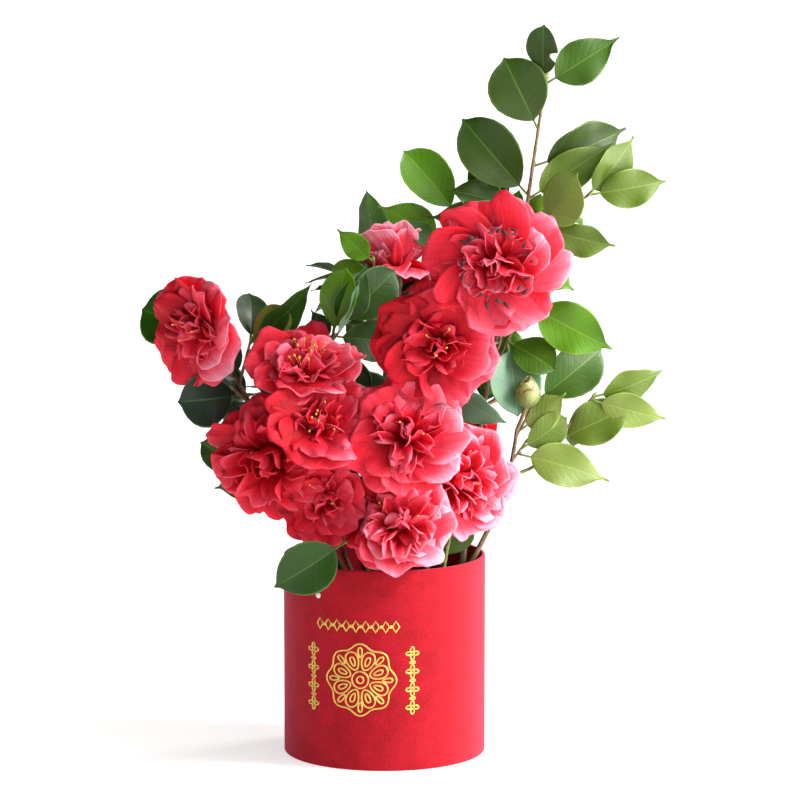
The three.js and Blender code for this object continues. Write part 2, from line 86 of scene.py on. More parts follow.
camera = linked("camera", bpy.data.cameras.new("camera"))
camera.location = CAMERA_AT
camera.rotation_euler = (math.radians(90 - LOOK_DOWN), 0, 0)
camera.data.sensor_width = 36
camera.data.lens = 184.1
camera.data.clip_start, camera.data.clip_end = 0.1, 200
scene.camera = camera
print("camera", CAMERA_AT, "looking down", LOOK_DOWN, "degrees")

# %% [markdown]
# ## Small helpers
# Sizes are written in millimetres, as on a workshop drawing, and Blender wants metres, so one
# constant turns one into the other. Colours are picked on a screen scale of 0 to 255, and Blender's
# shaders want linear light, so another helper converts them.

# %% Units, colours and directions
MM = 0.001


def vec(values):
    return np.array(values, float)


def paint(red, green, blue):
    """A colour picked on screen as the linear colour that a shader wants."""
    linear = [c / 12.92 if c <= 0.04045 else ((c + 0.055) / 1.055) ** 2.4
              for c in (red / 255, green / 255, blue / 255)]
    return (*linear, 1.0)


def unit(vector):
    return vector / max(np.linalg.norm(vector), 1e-12)


def square_to(vector, direction):
    """The part of a vector that is square to a direction, at unit length."""
    return unit(vector - np.dot(vector, direction) * direction)


def turned(vector, axis, degrees):
    """A vector turned about an axis."""
    angle = math.radians(degrees)
    return (vector * math.cos(angle) + np.cross(axis, vector) * math.sin(angle)
            + axis * np.dot(axis, vector) * (1 - math.cos(angle)))


def heading_vector(heading, lean):
    """A direction from its heading in the front plane and its lean towards the front."""
    h, w = math.radians(heading), math.radians(lean)
    return vec([math.cos(h) * math.cos(w), -math.sin(w), math.sin(h) * math.cos(w)])


def facing_vector(azimuth, elevation):
    """A direction from its degrees round from the front (right is +) and its degrees up."""
    a, e = math.radians(azimuth), math.radians(elevation)
    return vec([math.sin(a) * math.cos(e), -math.cos(a) * math.cos(e), math.sin(e)])


def sideways(direction, degrees):
    """A direction square to another: upwards where it can be, then turned about it."""
    return turned(square_to(vec([0, 0, 1]), direction), direction, degrees)


def smooth_step(x, low, high):
    t = np.clip((x - low) / (high - low), 0, 1)
    return t * t * (3 - 2 * t)


# %% [markdown]
# The part's source draws its random numbers from a small generator of its own. The same generator
# is written here, number for number, so every leaf gets the same turn, fold and droop as its solid.
# A curve in the plant is a quadratic Bezier: two ends, and a middle point that pulls it aside.

# %% The plant's own random numbers and curves
def seeded(seed):
    state = [float(seed * 7919 + 17)]

    def draw():
        state[0] = math.fmod(state[0] * 1103515245.0 + 12345.0, 2147483648.0)
        return state[0] / 2147483648.0
    return draw


class Path:
    """The gentle curve of a limb from foot to tip, its middle moved by bow."""

    def __init__(self, foot, tip, bow=(0, 0, 0)):
        self.foot, self.tip = vec(foot), vec(tip)
        self.middle = (self.foot + self.tip) / 2 + 2 * vec(bow)

    def point(self, t):
        return (1 - t) ** 2 * self.foot + 2 * (1 - t) * t * self.middle + t * t * self.tip

    def tangent(self, t):
        return unit(2 * (1 - t) * (self.middle - self.foot) + 2 * t * (self.tip - self.middle))

    def length(self):
        steps = [self.point(t) for t in np.linspace(0, 1, 33)]
        return sum(np.linalg.norm(b - a) for a, b in zip(steps, steps[1:]))


# %% [markdown]
# ## Nodes in a line or two
# Materials and Geometry Nodes are both trees of nodes. Written out in full, each node takes several
# lines, so one helper makes a node, sets its options and fills or links its inputs. A node input
# may be named by its label or, where two share a label, by its number.

# %% Node helpers
def node(tree, kind, inputs=None, **options):
    made = tree.nodes.new(kind)
    for name, value in options.items():
        setattr(made, name, value)
    for name, value in (inputs or {}).items():
        if isinstance(value, bpy.types.NodeSocket):
            tree.links.new(value, made.inputs[name])
        else:
            made.inputs[name].default_value = value
    return made


def calc(tree, operation, *values):
    """The result of a Math node."""
    return node(tree, "ShaderNodeMath", dict(enumerate(values)), operation=operation).outputs[0]


def calc_vector(tree, operation, *values, scale=None):
    """The result of a Vector Math node."""
    inputs = dict(enumerate(values))
    if scale is not None:
        inputs["Scale"] = scale
    return node(tree, "ShaderNodeVectorMath", inputs, operation=operation).outputs[0]


def new_material(name, colour, roughness=0.5, **sockets):
    """A material with a Principled shader, its plain values set on the shader itself."""
    material = bpy.data.materials.new(name)
    material.use_nodes = True
    shader = material.node_tree.nodes["Principled BSDF"]
    shader.inputs["Base Color"].default_value = colour
    shader.inputs["Roughness"].default_value = roughness
    for label, value in sockets.items():
        shader.inputs[label.replace("_", " ")].default_value = value
    material.diffuse_color = colour
    return material, material.node_tree, shader


def on_piece(tree):
    """The place on a piece, in the piece's own coordinates."""
    return node(tree, "ShaderNodeTexCoord").outputs["Object"]


def speckle(tree, place, scale, detail=2.0, roughness=0.5):
    """A cloudy noise between 0 and 1."""
    return node(tree, "ShaderNodeTexNoise", {
        "Vector": place, "Scale": scale, "Detail": detail, "Roughness": roughness}).outputs["Fac"]


def ramp(tree, factor, dark, light, low=0.0, high=1.0):
    """A colour that runs from dark, where the factor is low, to light, where it is high."""
    made = node(tree, "ShaderNodeValToRGB", {"Fac": factor})
    for element, position, colour in zip(made.color_ramp.elements, (low, high), (dark, light)):
        element.position, element.color = position, colour
    return made.outputs[0]


def mix(tree, factor, first, second, blend="MIX"):
    """Two colours mixed."""
    return node(tree, "ShaderNodeMix", {"Factor": factor, 6: first, 7: second},
                data_type="RGBA", blend_type=blend).outputs[2]


def set_colour(tree, shader, colour):
    tree.links.new(colour, shader.inputs["Base Color"])


def add_relief(tree, shader, height, strength, distance, invert=False):
    """Bumps on the surface, from a pattern's height."""
    bump = node(tree, "ShaderNodeBump", {"Height": height, "Strength": strength, "Distance": distance},
                invert=invert)
    tree.links.new(bump.outputs[0], shader.inputs["Normal"])


def vary_gloss(tree, shader, pattern, low, high):
    """A roughness that wavers with a pattern between low and high."""
    span = node(tree, "ShaderNodeMapRange", {"Value": pattern, "To Min": low, "To Max": high})
    tree.links.new(span.outputs[0], shader.inputs["Roughness"])


# %% [markdown]
# ## Running a Geometry Nodes tree
# A tree gets named inputs for its sizes and materials. A modifier keeps each input under the
# socket's identifier, not its name, so the helper looks the identifier up. It then evaluates the
# object and takes the result as a plain mesh, and the start object with its modifier is removed.

# %% Geometry Nodes helpers
def new_tree(name, inputs):
    tree = bpy.data.node_groups.new(name, "GeometryNodeTree")
    tree.interface.new_socket("Geometry", in_out="INPUT", socket_type="NodeSocketGeometry")
    for label, kind in inputs.items():
        tree.interface.new_socket(label, in_out="INPUT", socket_type=f"NodeSocket{kind}")
    tree.interface.new_socket("Geometry", in_out="OUTPUT", socket_type="NodeSocketGeometry")
    return tree, tree.nodes.new("NodeGroupInput").outputs, tree.nodes.new("NodeGroupOutput").inputs


def attribute(tree, name, kind="FLOAT"):
    """The value of a named attribute in a Geometry Nodes tree."""
    return node(tree, "GeometryNodeInputNamedAttribute", {"Name": name}, data_type=kind).outputs[0]


def end_tree(tree, geometry, given, result, smooth=False):
    """The end of a tree: instances made real, shaded smooth if wished, and the material set."""
    real = node(tree, "GeometryNodeRealizeInstances", {0: geometry}).outputs[0]
    if smooth:
        real = node(tree, "GeometryNodeSetShadeSmooth", {"Geometry": real, "Shade Smooth": True}).outputs[0]
    painted = node(tree, "GeometryNodeSetMaterial", {"Geometry": real, "Material": given["Material"]})
    tree.links.new(painted.outputs[0], result[0])
    return tree


def carry(mesh, label, values, kind="FLOAT", domain="POINT"):
    """Gives each point or face of a mesh a number or a vector that a tree can read."""
    field = "vector" if kind == "FLOAT_VECTOR" else "value"
    number = np.int32 if kind == "INT" else np.float32
    mesh.attributes.new(label, kind, domain).data.foreach_set(field, np.array(values, number).ravel())


def discard(shape):
    """Removes an object and its mesh."""
    mesh = shape.data
    bpy.data.objects.remove(shape)
    bpy.data.meshes.remove(mesh)


def grown(start, tree, settings):
    """The plain mesh that a tree grows from a start mesh."""
    holder = linked("start", start)
    modifier = holder.modifiers.new("grow", "NODES")
    modifier.node_group = tree
    for item in tree.interface.items_tree:
        if item.item_type == "SOCKET" and item.in_out == "INPUT" and item.name in settings:
            modifier[item.identifier] = settings[item.name]
    holder.data.update()
    evaluated = holder.evaluated_get(bpy.context.evaluated_depsgraph_get())
    mesh = bpy.data.meshes.new_from_object(evaluated)
    discard(holder)
    return mesh


# %% [markdown]
# ## From numbers to meshes
# Petals, leaves and scales are thin sheets. A real sheet has a thickness, so each one is made as a
# closed shell: a front and a back grid, half a thickness to either side of the middle, joined by a
# narrow rim. The rim is shaded flat, so the soft shading of the sheet stops cleanly at its edge.
# The sheets of a kind are gathered in a sheaf, which turns into one mesh at the end.

# %% Sheets and sheaves
def sheet_normals(grid):
    across = np.gradient(grid, axis=1)
    along = np.gradient(grid, axis=0)
    normal = np.cross(across, along)
    return normal / np.maximum(np.linalg.norm(normal, axis=2, keepdims=True), 1e-9)


def sheet_faces(rows, cols):
    """Faces of a closed sheet of rows by cols points, with each face's row, column and side.

    The side is 0 for the front, 1 for the back and 2 for the rim."""
    size = rows * cols
    faces, marks = [], []

    def add(corners, *mark):
        faces.append(corners)
        marks.append(mark)

    for j in range(rows - 1):
        for i in range(cols - 1):
            a = j * cols + i
            b = a + cols
            add((a, a + 1, b + 1, b), j, i, 0)
            add((a + size, b + size, b + 1 + size, a + 1 + size), j, i, 1)
    for i in range(cols - 1):
        top = size - cols + i
        add((i, i + size, i + 1 + size, i + 1), 0, i, 2)
        add((top, top + 1, top + 1 + size, top + size), rows - 2, i, 2)
    for j in range(rows - 1):
        left, right = j * cols, (j + 1) * cols - 1
        add((left, left + cols, left + cols + size, left + size), j, 0, 2)
        add((right, right + size, right + cols + size, right + cols), j, cols - 2, 2)
    return np.array(faces), np.array(marks)


def face_mesh(name, points, faces, tints=None, smooth=None, uvs=None):
    """A mesh from points in millimetres, with a material number and a smoothness for each face."""
    mesh = bpy.data.meshes.new(name)
    mesh.from_pydata((np.asarray(points) * MM).tolist(), [], [list(f) for f in faces])
    if tints is not None:
        mesh.polygons.foreach_set("material_index", np.asarray(tints, np.int32))
    mesh.polygons.foreach_set("use_smooth", np.ones(len(faces), bool) if smooth is None else smooth)
    if uvs is not None:
        layer = mesh.uv_layers.new(name="UVMap")
        layer.data.foreach_set("uv", np.asarray(uvs)[faces.ravel()].astype(np.float32).ravel())
    mesh.update()
    return mesh


class Sheaf:
    """Gathers many closed sheets into one mesh."""
    shapes = {}

    def __init__(self):
        self.points, self.faces, self.tints, self.smooth, self.uvs, self.count = [], [], [], [], [], 0

    def add(self, grid, thickness, tint):
        """A sheet; tint(row, column, side) gives the material numbers of its faces."""
        rows, cols = grid.shape[:2]
        if (rows, cols) not in Sheaf.shapes:
            Sheaf.shapes[rows, cols] = sheet_faces(rows, cols)
        faces, marks = Sheaf.shapes[rows, cols]
        normal = sheet_normals(grid) * thickness / 2
        self.points += [(grid + normal).reshape(-1, 3), (grid - normal).reshape(-1, 3)]
        self.faces.append(faces + self.count)
        self.tints.append(tint(marks[:, 0], marks[:, 1], marks[:, 2]))
        self.smooth.append(marks[:, 2] < 2)
        v, u = np.meshgrid(np.linspace(0, 1, rows), np.linspace(0, 1, cols), indexing="ij")
        self.uvs += [np.stack([u, v], 2).reshape(-1, 2)] * 2
        self.count += 2 * rows * cols

    def mesh(self, name):
        return face_mesh(name, np.concatenate(self.points), np.concatenate(self.faces),
                         np.concatenate(self.tints), np.concatenate(self.smooth), np.concatenate(self.uvs))


# %% [markdown]
# A finished piece is one object at the origin, with its place in its mesh. It rides on the plant's
# one body and takes the place of its solids.

# %% Finishing a piece
def finish_piece(name, mesh, replaces=(), materials=()):
    mesh.name = name
    for material in materials:
        mesh.materials.append(material)
    piece = linked(name, mesh)
    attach(piece, "root")
    if replaces:
        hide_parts(*replaces)
    mesh.calc_loop_triangles()
    print(f"{name}: {len(mesh.loop_triangles)} triangles")
    return piece


def joined_mesh(name, meshes):
    """One mesh from several, each keeping its own materials."""
    holders = [linked(name, mesh) for mesh in meshes]
    with bpy.context.temp_override(active_object=holders[0], selected_editable_objects=holders):
        bpy.ops.object.join()
    mesh = holders[0].data
    bpy.data.objects.remove(holders[0])
    return mesh


# %% [markdown]
# ## The planter
# The planter is a round card box covered in crimson flock, a felt of very short fibres. Its wall is
# one line turned about the upright axis, which is called a lathe: up the outside, over the rounded
# rim, down the inside and along the floor. Blender's Screw modifier turns a line in the same way;
# here it is done with numbers, because the line closes on the axis at both ends.

# %% Turn the planter's wall
POT = {"radius": 75, "height": 149, "wall": 2.6, "floor": 3, "round": 1.3}
SOIL_TOP = POT["height"] - 25


def ring_points(radius, height, count):
    angles = [2 * math.pi * k / count for k in range(count)]
    return [(radius * math.cos(a), radius * math.sin(a), height) for a in angles]


def lathe_mesh(name, line, segments=128):
    """A closed mesh from a line of (radius, height) that starts and ends on the axis."""
    points, faces = [(0, 0, line[0][1])], []
    for radius, height in line[1:-1]:
        points += ring_points(radius, height, segments)
    points.append((0, 0, line[-1][1]))
    last, rings = len(points) - 1, len(line) - 2
    for k in range(segments):
        n = (k + 1) % segments
        faces.append((0, 1 + n, 1 + k))
        for j in range(rings - 1):
            a, b = 1 + j * segments, 1 + (j + 1) * segments
            faces.append((a + k, a + n, b + n, b + k))
        top = 1 + (rings - 1) * segments
        faces.append((top + k, top + n, last))
    return face_mesh(name, points, faces)


def planter_line():
    """The wall's section: foot, outside, rolled rim, inside and floor."""
    outer, inner, top, r = POT["radius"], POT["radius"] - POT["wall"], POT["height"], POT["round"]
    foot = [(outer - r + r * math.sin(a), r - r * math.cos(a)) for a in np.linspace(0, math.pi / 2, 5)]
    wall = [(outer, z) for z in np.linspace(10, top - 8, 12)]
    rim = [((outer + inner) / 2 + r * math.cos(a), top - r + r * math.sin(a))
           for a in np.linspace(0, math.pi, 9)]
    inside = [(inner, top - 10), (inner, SOIL_TOP - 6), (inner, POT["floor"] + 1),
              (inner - 1, POT["floor"]), (inner - 10, POT["floor"])]
    return [(0, 0), (outer - 12, 0), *foot, *wall, *rim, *inside, (0, POT["floor"])]


planter_mesh = lathe_mesh("planter", planter_line())
print("planter wall:", POT["radius"] * 2, "mm across,", POT["height"], "mm high")

# %% [markdown]
# Flock scatters light at its grazing edges, which Blender calls sheen. Its fibres lie this way and
# that, so the crimson is cloudy on a scale of centimetres and grainy on a scale of a third of a
# millimetre. The grain also drives a bump, so raking light shows it.

# %% Crimson flock
flock, tree, shader = new_material("crimson_flock", paint(196, 20, 44), 0.85, Sheen_Weight=0.9,
                                   Sheen_Roughness=0.4, Sheen_Tint=paint(255, 120, 150),
                                   Specular_IOR_Level=0.22)
cloud = speckle(tree, on_piece(tree), scale=55.0, detail=3.0, roughness=0.6)
grain = speckle(tree, on_piece(tree), scale=1100.0, detail=3.0, roughness=0.7)
tone = ramp(tree, cloud, paint(158, 8, 24), paint(184, 15, 34), low=0.3, high=0.7)
pile = ramp(tree, grain, (0.62, 0.62, 0.62, 1), (1.25, 1.25, 1.25, 1), low=0.32, high=0.68)
set_colour(tree, shader, mix(tree, 0.9, tone, pile, "MULTIPLY"))
add_relief(tree, shader, grain, strength=0.55, distance=0.0005)
finish_piece("planter", planter_mesh, ["planter"], [flock])

# %% [markdown]
# ## The planter's studs
# A white dome stud on either side of the wall holds a carrying cord's end on such boxes. It is
# another small lathe, turned to look out of the wall.

# %% Two small studs
STUD = {"azimuths": (-40, 140), "below_rim": 21, "sunk": 0.1,
        "line": [(0, 0), (2.2, 0), (2.3, 0.25), (2.05, 0.65), (1.4, 1.0), (0.7, 1.15), (0, 1.2)]}


def stud_points(azimuth):
    """The points and faces of one stud, turned to look out of the wall."""
    mesh = lathe_mesh("stud", STUD["line"], 24)
    points = np.array([v.co for v in mesh.vertices]) / MM
    faces = [tuple(p.vertices) for p in mesh.polygons]
    bpy.data.meshes.remove(mesh)
    a = math.radians(azimuth)
    right, out, up = vec([math.cos(a), math.sin(a), 0]), vec([math.sin(a), -math.cos(a), 0]), vec([0, 0, 1])
    centre = out * (POT["radius"] - STUD["sunk"]) + up * (POT["height"] - STUD["below_rim"])
    return centre + points[:, :1] * right + points[:, 1:2] * up + points[:, 2:] * out, faces


stud_parts = [stud_points(azimuth) for azimuth in STUD["azimuths"]]
half = len(stud_parts[0][0])
stud_mesh = face_mesh("studs", np.concatenate([p for p, _ in stud_parts]),
                      stud_parts[0][1] + [tuple(i + half for i in f) for f in stud_parts[1][1]])
enamel, tree, shader = new_material("white_stud", paint(233, 228, 220), 0.3, Coat_Weight=0.3)
vary_gloss(tree, shader, speckle(tree, on_piece(tree), scale=900.0), low=0.25, high=0.4)
finish_piece("studs", stud_mesh, ["front_stud", "rear_stud"], [enamel])

# %% [markdown]
# ## The gold ornament on the wall
# The wall carries a foil ornament: a round flower medallion, a row of lozenges over it, and a
# column of small flowerlets at either side. It is drawn flat, as lines, where x is the way round
# the wall and y is the height. A Geometry Nodes tree then gives every line a thin flat section and
# bends the whole drawing round the wall. Drawing flat and bending last keeps the drawing simple.

# %% Draw the ornament's lines
FOIL = {"centre_azimuth": -14.2, "width": 1.25, "thick": 0.34}
MEDALLION = {"centre": (0.8, 68.0), "petals": 8, "radius": 25.2, "wave": 1.6, "eye": 6.2, "pupil": 2.6}
COLUMN = {"aside": 39, "shift": 0.4, "top": 87.5, "step": 13.4, "count": 4}
LOZENGES = {"middle": -2.4, "height": 107.6, "step": 7.4, "count": 9, "half_width": 2.6, "half_height": 4.2}


def loop_line(centre, count, radius_at):
    """A closed line round a centre; radius_at gives its radius at an angle."""
    return [(centre[0] + radius_at(a) * math.cos(a), centre[1] + radius_at(a) * math.sin(a))
            for a in np.linspace(0, 2 * math.pi, count + 1)[:-1]]


def petal_line(centre, angle, inner, outer, wide):
    """A pointed oval that looks away from a centre."""
    c, s = math.cos(angle), math.sin(angle)
    out = []
    for t in np.linspace(0, 2 * math.pi, 24, endpoint=False):
        along = (inner + outer) / 2 - (outer - inner) / 2 * math.cos(t)
        aside = wide * math.sin(t) * (1 - 0.25 * math.cos(t))
        out.append((centre[0] + along * c - aside * s, centre[1] + along * s + aside * c))
    return out


def medallion_lines():
    centre, count = MEDALLION["centre"], MEDALLION["petals"]
    lines = [loop_line(centre, 128, lambda a: MEDALLION["radius"] + MEDALLION["wave"] * math.cos(count * a)),
             loop_line(centre, 36, lambda a: MEDALLION["eye"]),
             loop_line(centre, 20, lambda a: MEDALLION["pupil"])]
    for k in range(count):
        angle = 2 * math.pi / count * k + math.pi / count
        lines += [petal_line(centre, angle, 8.0, 21.8, 4.6),
                  petal_line(centre, angle, 11.0, 18.0, 1.6),
                  petal_line(centre, angle + math.pi / count, 16.5, 24.0, 1.5)]
    return lines


def flowerlet_lines():
    lines = []
    for side in (-1, 1):
        for k in range(COLUMN["count"]):
            x, y = COLUMN["aside"] * side + COLUMN["shift"], COLUMN["top"] - COLUMN["step"] * k
            lines.append(loop_line((x, y), 40, lambda a: 3.4 + 1.5 * math.cos(4 * a)))
            lines.append(loop_line((x, y), 12, lambda a: 1.2))
            if k < COLUMN["count"] - 1:
                lines.append(petal_line((x, y - COLUMN["step"] / 2), 0, -2.0, 2.0, 0.8))
    return lines


def lozenge_lines():
    lines, wide, tall = [], LOZENGES["half_width"], LOZENGES["half_height"]
    for k in range(LOZENGES["count"]):
        x, y = LOZENGES["middle"] + LOZENGES["step"] * (k - LOZENGES["count"] // 2), LOZENGES["height"]
        lines.append([(x - wide, y), (x, y - tall), (x + wide, y), (x, y + tall)])
        if k < LOZENGES["count"] - 1:
            lines.append(loop_line((x + LOZENGES["step"] / 2, y), 10, lambda a: 0.7))
    return lines


foil_lines = medallion_lines() + flowerlet_lines() + lozenge_lines()
print("foil lines:", len(foil_lines))

# %% Bend the foil round the wall
def line_mesh(name, lines, closed=False, **values):
    """Edges along lines of points in millimetres, with values carried by each point."""
    points, edges = [], []
    for line in lines:
        first = len(points)
        points += [tuple(p) if len(p) == 3 else (p[0], p[1], 0) for p in line]
        edges += [(first + i, first + i + 1) for i in range(len(line) - 1)]
        if closed:
            edges.append((first + len(line) - 1, first))
    mesh = bpy.data.meshes.new(name)
    mesh.from_pydata((np.array(points, float) * MM).tolist(), edges, [])
    for label, numbers in values.items():
        carry(mesh, label, numbers)
    return mesh


tree, given, result = new_tree("foil_round_a_wall", {
    "Foil Width": "Float", "Foil Thickness": "Float", "Wall Radius": "Float", "Centre Angle": "Float",
    "Material": "Material"})
lines = node(tree, "GeometryNodeMeshToCurve", {"Mesh": given["Geometry"]})
upright = node(tree, "GeometryNodeSetCurveNormal", {"Curve": lines.outputs[0]}, mode="Z_UP")
strip = node(tree, "GeometryNodeCurvePrimitiveQuadrilateral",
             {"Width": given["Foil Width"], "Height": given["Foil Thickness"]}, mode="RECTANGLE")
strokes = node(tree, "GeometryNodeCurveToMesh", {
    "Curve": upright.outputs[0], "Profile Curve": strip.outputs[0]})
flat = node(tree, "ShaderNodeSeparateXYZ", {0: node(tree, "GeometryNodeInputPosition").outputs[0]}).outputs
angle = calc(tree, "ADD", calc(tree, "DIVIDE", flat["X"], given["Wall Radius"]), given["Centre Angle"])
out = calc(tree, "ADD", flat["Z"], given["Wall Radius"])
place = node(tree, "ShaderNodeCombineXYZ", {
    "X": calc(tree, "MULTIPLY", out, calc(tree, "SINE", angle)),
    "Y": calc(tree, "MULTIPLY", calc(tree, "MULTIPLY", out, calc(tree, "COSINE", angle)), -1.0),
    "Z": flat["Y"]})
bent = node(tree, "GeometryNodeSetPosition", {"Geometry": strokes.outputs[0], "Position": place.outputs[0]})
foil_tree = end_tree(tree, bent.outputs[0], given, result)

# %% [markdown]
# The foil is a soft yellow gold. Pressed foil is never quite even, so its roughness is mottled, and
# a little bump gives it the grain of the flock under it.

# %% Gold foil
gold, tree, shader = new_material("gold_foil", paint(228, 188, 92), 0.4, Metallic=0.55)
mottle = speckle(tree, on_piece(tree), scale=900.0, detail=3.0)
vary_gloss(tree, shader, mottle, low=0.28, high=0.6)
add_relief(tree, shader, mottle, strength=0.4, distance=0.0003)
foil_mesh = grown(line_mesh("foil", foil_lines, closed=True), foil_tree, {
    "Foil Width": FOIL["width"] * MM, "Foil Thickness": FOIL["thick"] * MM,
    "Wall Radius": POT["radius"] * MM, "Centre Angle": math.radians(FOIL["centre_azimuth"]),
    "Material": gold})
finish_piece("planter_ornament", foil_mesh)

# %% [markdown]
# ## Soil and bark chips
# The soil is a rough disc: rings of points whose height comes from a fractal noise, with a flat
# underside, so the stems seem to come out of crumbs and not out of a lid. Chips of bark lie on it.
# They are scattered by a tree of nodes, which picks one of three chip shapes for each point.

# %% The soil
SOIL = {"radius": POT["radius"] - POT["wall"] - 0.3, "low": 60}


def soil_mesh():
    """A disc of crumbs with a flat underside; it falls away a little at its edge."""
    rings, segments = 26, 96
    points = [(0, 0, SOIL["low"]), (0, 0, SOIL_TOP)]
    for j in range(1, rings + 1):
        radius = SOIL["radius"] * j / rings
        for k in range(segments):
            a = 2 * math.pi * k / segments
            x, y = radius * math.cos(a), radius * math.sin(a)
            rough = noise.fractal(Vector((x, y, 0)) * 0.11, 0.9, 2.1, 5)
            points.append((x, y, SOIL_TOP - 0.4 + 1.5 * rough - 1.5 * (j / rings) ** 6))
    points += ring_points(SOIL["radius"], SOIL["low"], segments)
    faces = []
    for k in range(segments):
        n = (k + 1) % segments
        faces.append((1, 2 + k, 2 + n))
        for j in range(rings):
            a, b = 2 + j * segments, 2 + (j + 1) * segments
            faces.append((a + k, b + k, b + n, a + n))
        base = 2 + rings * segments
        faces.append((0, base + n, base + k))
    return face_mesh("soil", points, faces)


earth, tree, shader = new_material("potting_mix", paint(52, 36, 26), 0.95)
crumbs = node(tree, "ShaderNodeTexVoronoi", {"Vector": on_piece(tree), "Scale": 420.0}).outputs["Distance"]
set_colour(tree, shader, ramp(tree, crumbs, paint(66, 46, 32), paint(24, 16, 12)))
add_relief(tree, shader, crumbs, strength=0.8, distance=0.001, invert=True)
soil = finish_piece("soil", soil_mesh(), ["soil"], [earth])

# %% Scatter the bark chips
def chip_object(name, seed):
    """A flat splinter of bark: a box of two layers with uneven corners."""
    draw = np.random.default_rng(seed)
    long, wide, thick = 9 + 3 * draw.random(), 4 + 2 * draw.random(), 1.4
    ring = [(-1, -0.5), (-0.5, -1), (0.5, -0.9), (1, -0.3), (0.9, 0.6), (0.3, 1), (-0.6, 0.9), (-1, 0.3)]
    points = [(x * long / 2 + draw.normal(0, 0.4), y * wide / 2 + draw.normal(0, 0.3),
               level * thick / 2 + draw.normal(0, 0.15)) for level in (-1, 1) for x, y in ring]
    faces = [tuple(range(7, -1, -1)), tuple(range(8, 16))]
    faces += [(i, (i + 1) % 8, 8 + (i + 1) % 8, 8 + i) for i in range(8)]
    return bpy.data.objects.new(name, face_mesh(name, points, faces, smooth=np.zeros(10, bool)))


def shape_collection(name, shapes):
    """Shapes that a tree may pick from, in the order of their names."""
    collection = bpy.data.collections.new(name)
    scene.collection.children.link(collection)
    for shape in shapes:
        collection.objects.link(shape)
    return collection


def pick_shapes(tree, collection):
    """A collection's shapes as instances that a tree can pick from."""
    return node(tree, "GeometryNodeCollectionInfo", {
        "Collection": collection, "Separate Children": True, "Reset Children": True}).outputs[0]


def clear_collection(collection):
    for shape in list(collection.objects):
        discard(shape)
    bpy.data.collections.remove(collection)


tree, given, result = new_tree("scatter_chips", {
    "Chips": "Collection", "Spacing": "Float", "Density": "Float", "Highest Rim": "Float", "Seed": "Int",
    "Material": "Material"})
flat = node(tree, "ShaderNodeSeparateXYZ", {0: node(tree, "GeometryNodeInputPosition").outputs[0]}).outputs
out = calc(tree, "SQRT", calc(tree, "ADD", calc(tree, "MULTIPLY", flat["X"], flat["X"]),
                              calc(tree, "MULTIPLY", flat["Y"], flat["Y"])))
inside = node(tree, "FunctionNodeCompare", {0: out, 1: given["Highest Rim"]}, operation="LESS_THAN")
normal = node(tree, "GeometryNodeInputNormal").outputs[0]
upward = node(tree, "ShaderNodeSeparateXYZ", {0: normal}).outputs["Z"]
top = node(tree, "FunctionNodeCompare", {0: upward, 1: 0.3}, operation="GREATER_THAN")
both = node(tree, "FunctionNodeBooleanMath", {0: inside.outputs[0], 1: top.outputs[0]}, operation="AND")
spots = node(tree, "GeometryNodeDistributePointsOnFaces", {
    "Mesh": given["Geometry"], "Selection": both.outputs[0], "Distance Min": given["Spacing"],
    "Density Max": given["Density"], "Seed": given["Seed"]}, distribute_method="POISSON")
pick = pick_shapes(tree, given["Chips"])
spin = node(tree, "FunctionNodeRandomValue", {0: (-0.25, -0.25, 0.0), 1: (0.25, 0.25, 6.28), "Seed": 3},
            data_type="FLOAT_VECTOR")
size = node(tree, "FunctionNodeRandomValue", {2: 0.55, 3: 1.0, "Seed": 4}, data_type="FLOAT")
laid = node(tree, "GeometryNodeInstanceOnPoints", {
    "Points": spots.outputs["Points"], "Instance": pick, "Pick Instance": True,
    "Rotation": spin.outputs[0], "Scale": size.outputs[1]})
chip_tree = end_tree(tree, laid.outputs[0], given, result)

chip_bark, tree, shader = new_material("bark_chips", paint(92, 62, 40), 0.85)
streak = speckle(tree, on_piece(tree), scale=300.0, detail=4.0)
set_colour(tree, shader, ramp(tree, streak, paint(58, 38, 26), paint(126, 88, 58)))
chips = shape_collection("chips", [chip_object(f"chip_{k}", k) for k in range(3)])
chip_mesh = grown(soil.data.copy(), chip_tree, {
    "Chips": chips, "Spacing": 6 * MM, "Density": 20000.0, "Highest Rim": 66 * MM, "Seed": 5,
    "Material": chip_bark})
clear_collection(chips)
finish_piece("bark_chips", chip_mesh)

# %% [markdown]
# ## Stems and boughs
# Nine slim stems come up from the soil, and nine boughs leave them. Their ends and bows are the
# source's own numbers. Camellia bark is smooth, with a faint swelling at each old leaf scar, so a
# limb's radius tapers and swells a little every few centimetres. One Geometry Nodes tree lays a
# round section along every limb, and lifts its skin by a stretched noise for the bark's relief.

# %% Where the limbs run
ROOT = SOIL_TOP + 0.3 - 1.5
STEMS = {
    "main_stem": ([56, 8, ROOT], [106, 25, 408], [-6, 4, 0], 3.1, 1.5),
    "right_stem": ([50, -14, ROOT], [98, -2, 242], [9, -2, 0], 2.2, 1.3),
    "front_stem": ([42, -30, ROOT], [56, -20, 192], [-3, -8, 0], 1.8, 1.3),
    "left_stem": ([-18, -14, ROOT], [-42, -34, 184], [-2, 2, 4], 1.9, 1.3),
    "centre_stem": ([6, -4, ROOT], [34, -32, 298], [-6, 6, 0], 2.8, 1.5),
    "inner_stem": ([-12, 6, ROOT], [-54, -22, 272], [4, 8, 0], 2.6, 1.5),
    "far_left_stem": ([-26, 14, ROOT], [-122, 12, 300], [-8, 4, 14], 2.8, 1.4),
    "back_stem": ([2, 26, ROOT], [12, 40, 345], [-10, 8, 0], 2.8, 1.4),
    "rear_stem": ([30, 32, ROOT], [58, 66, 300], [0, 12, 0], 2.6, 1.4),
}
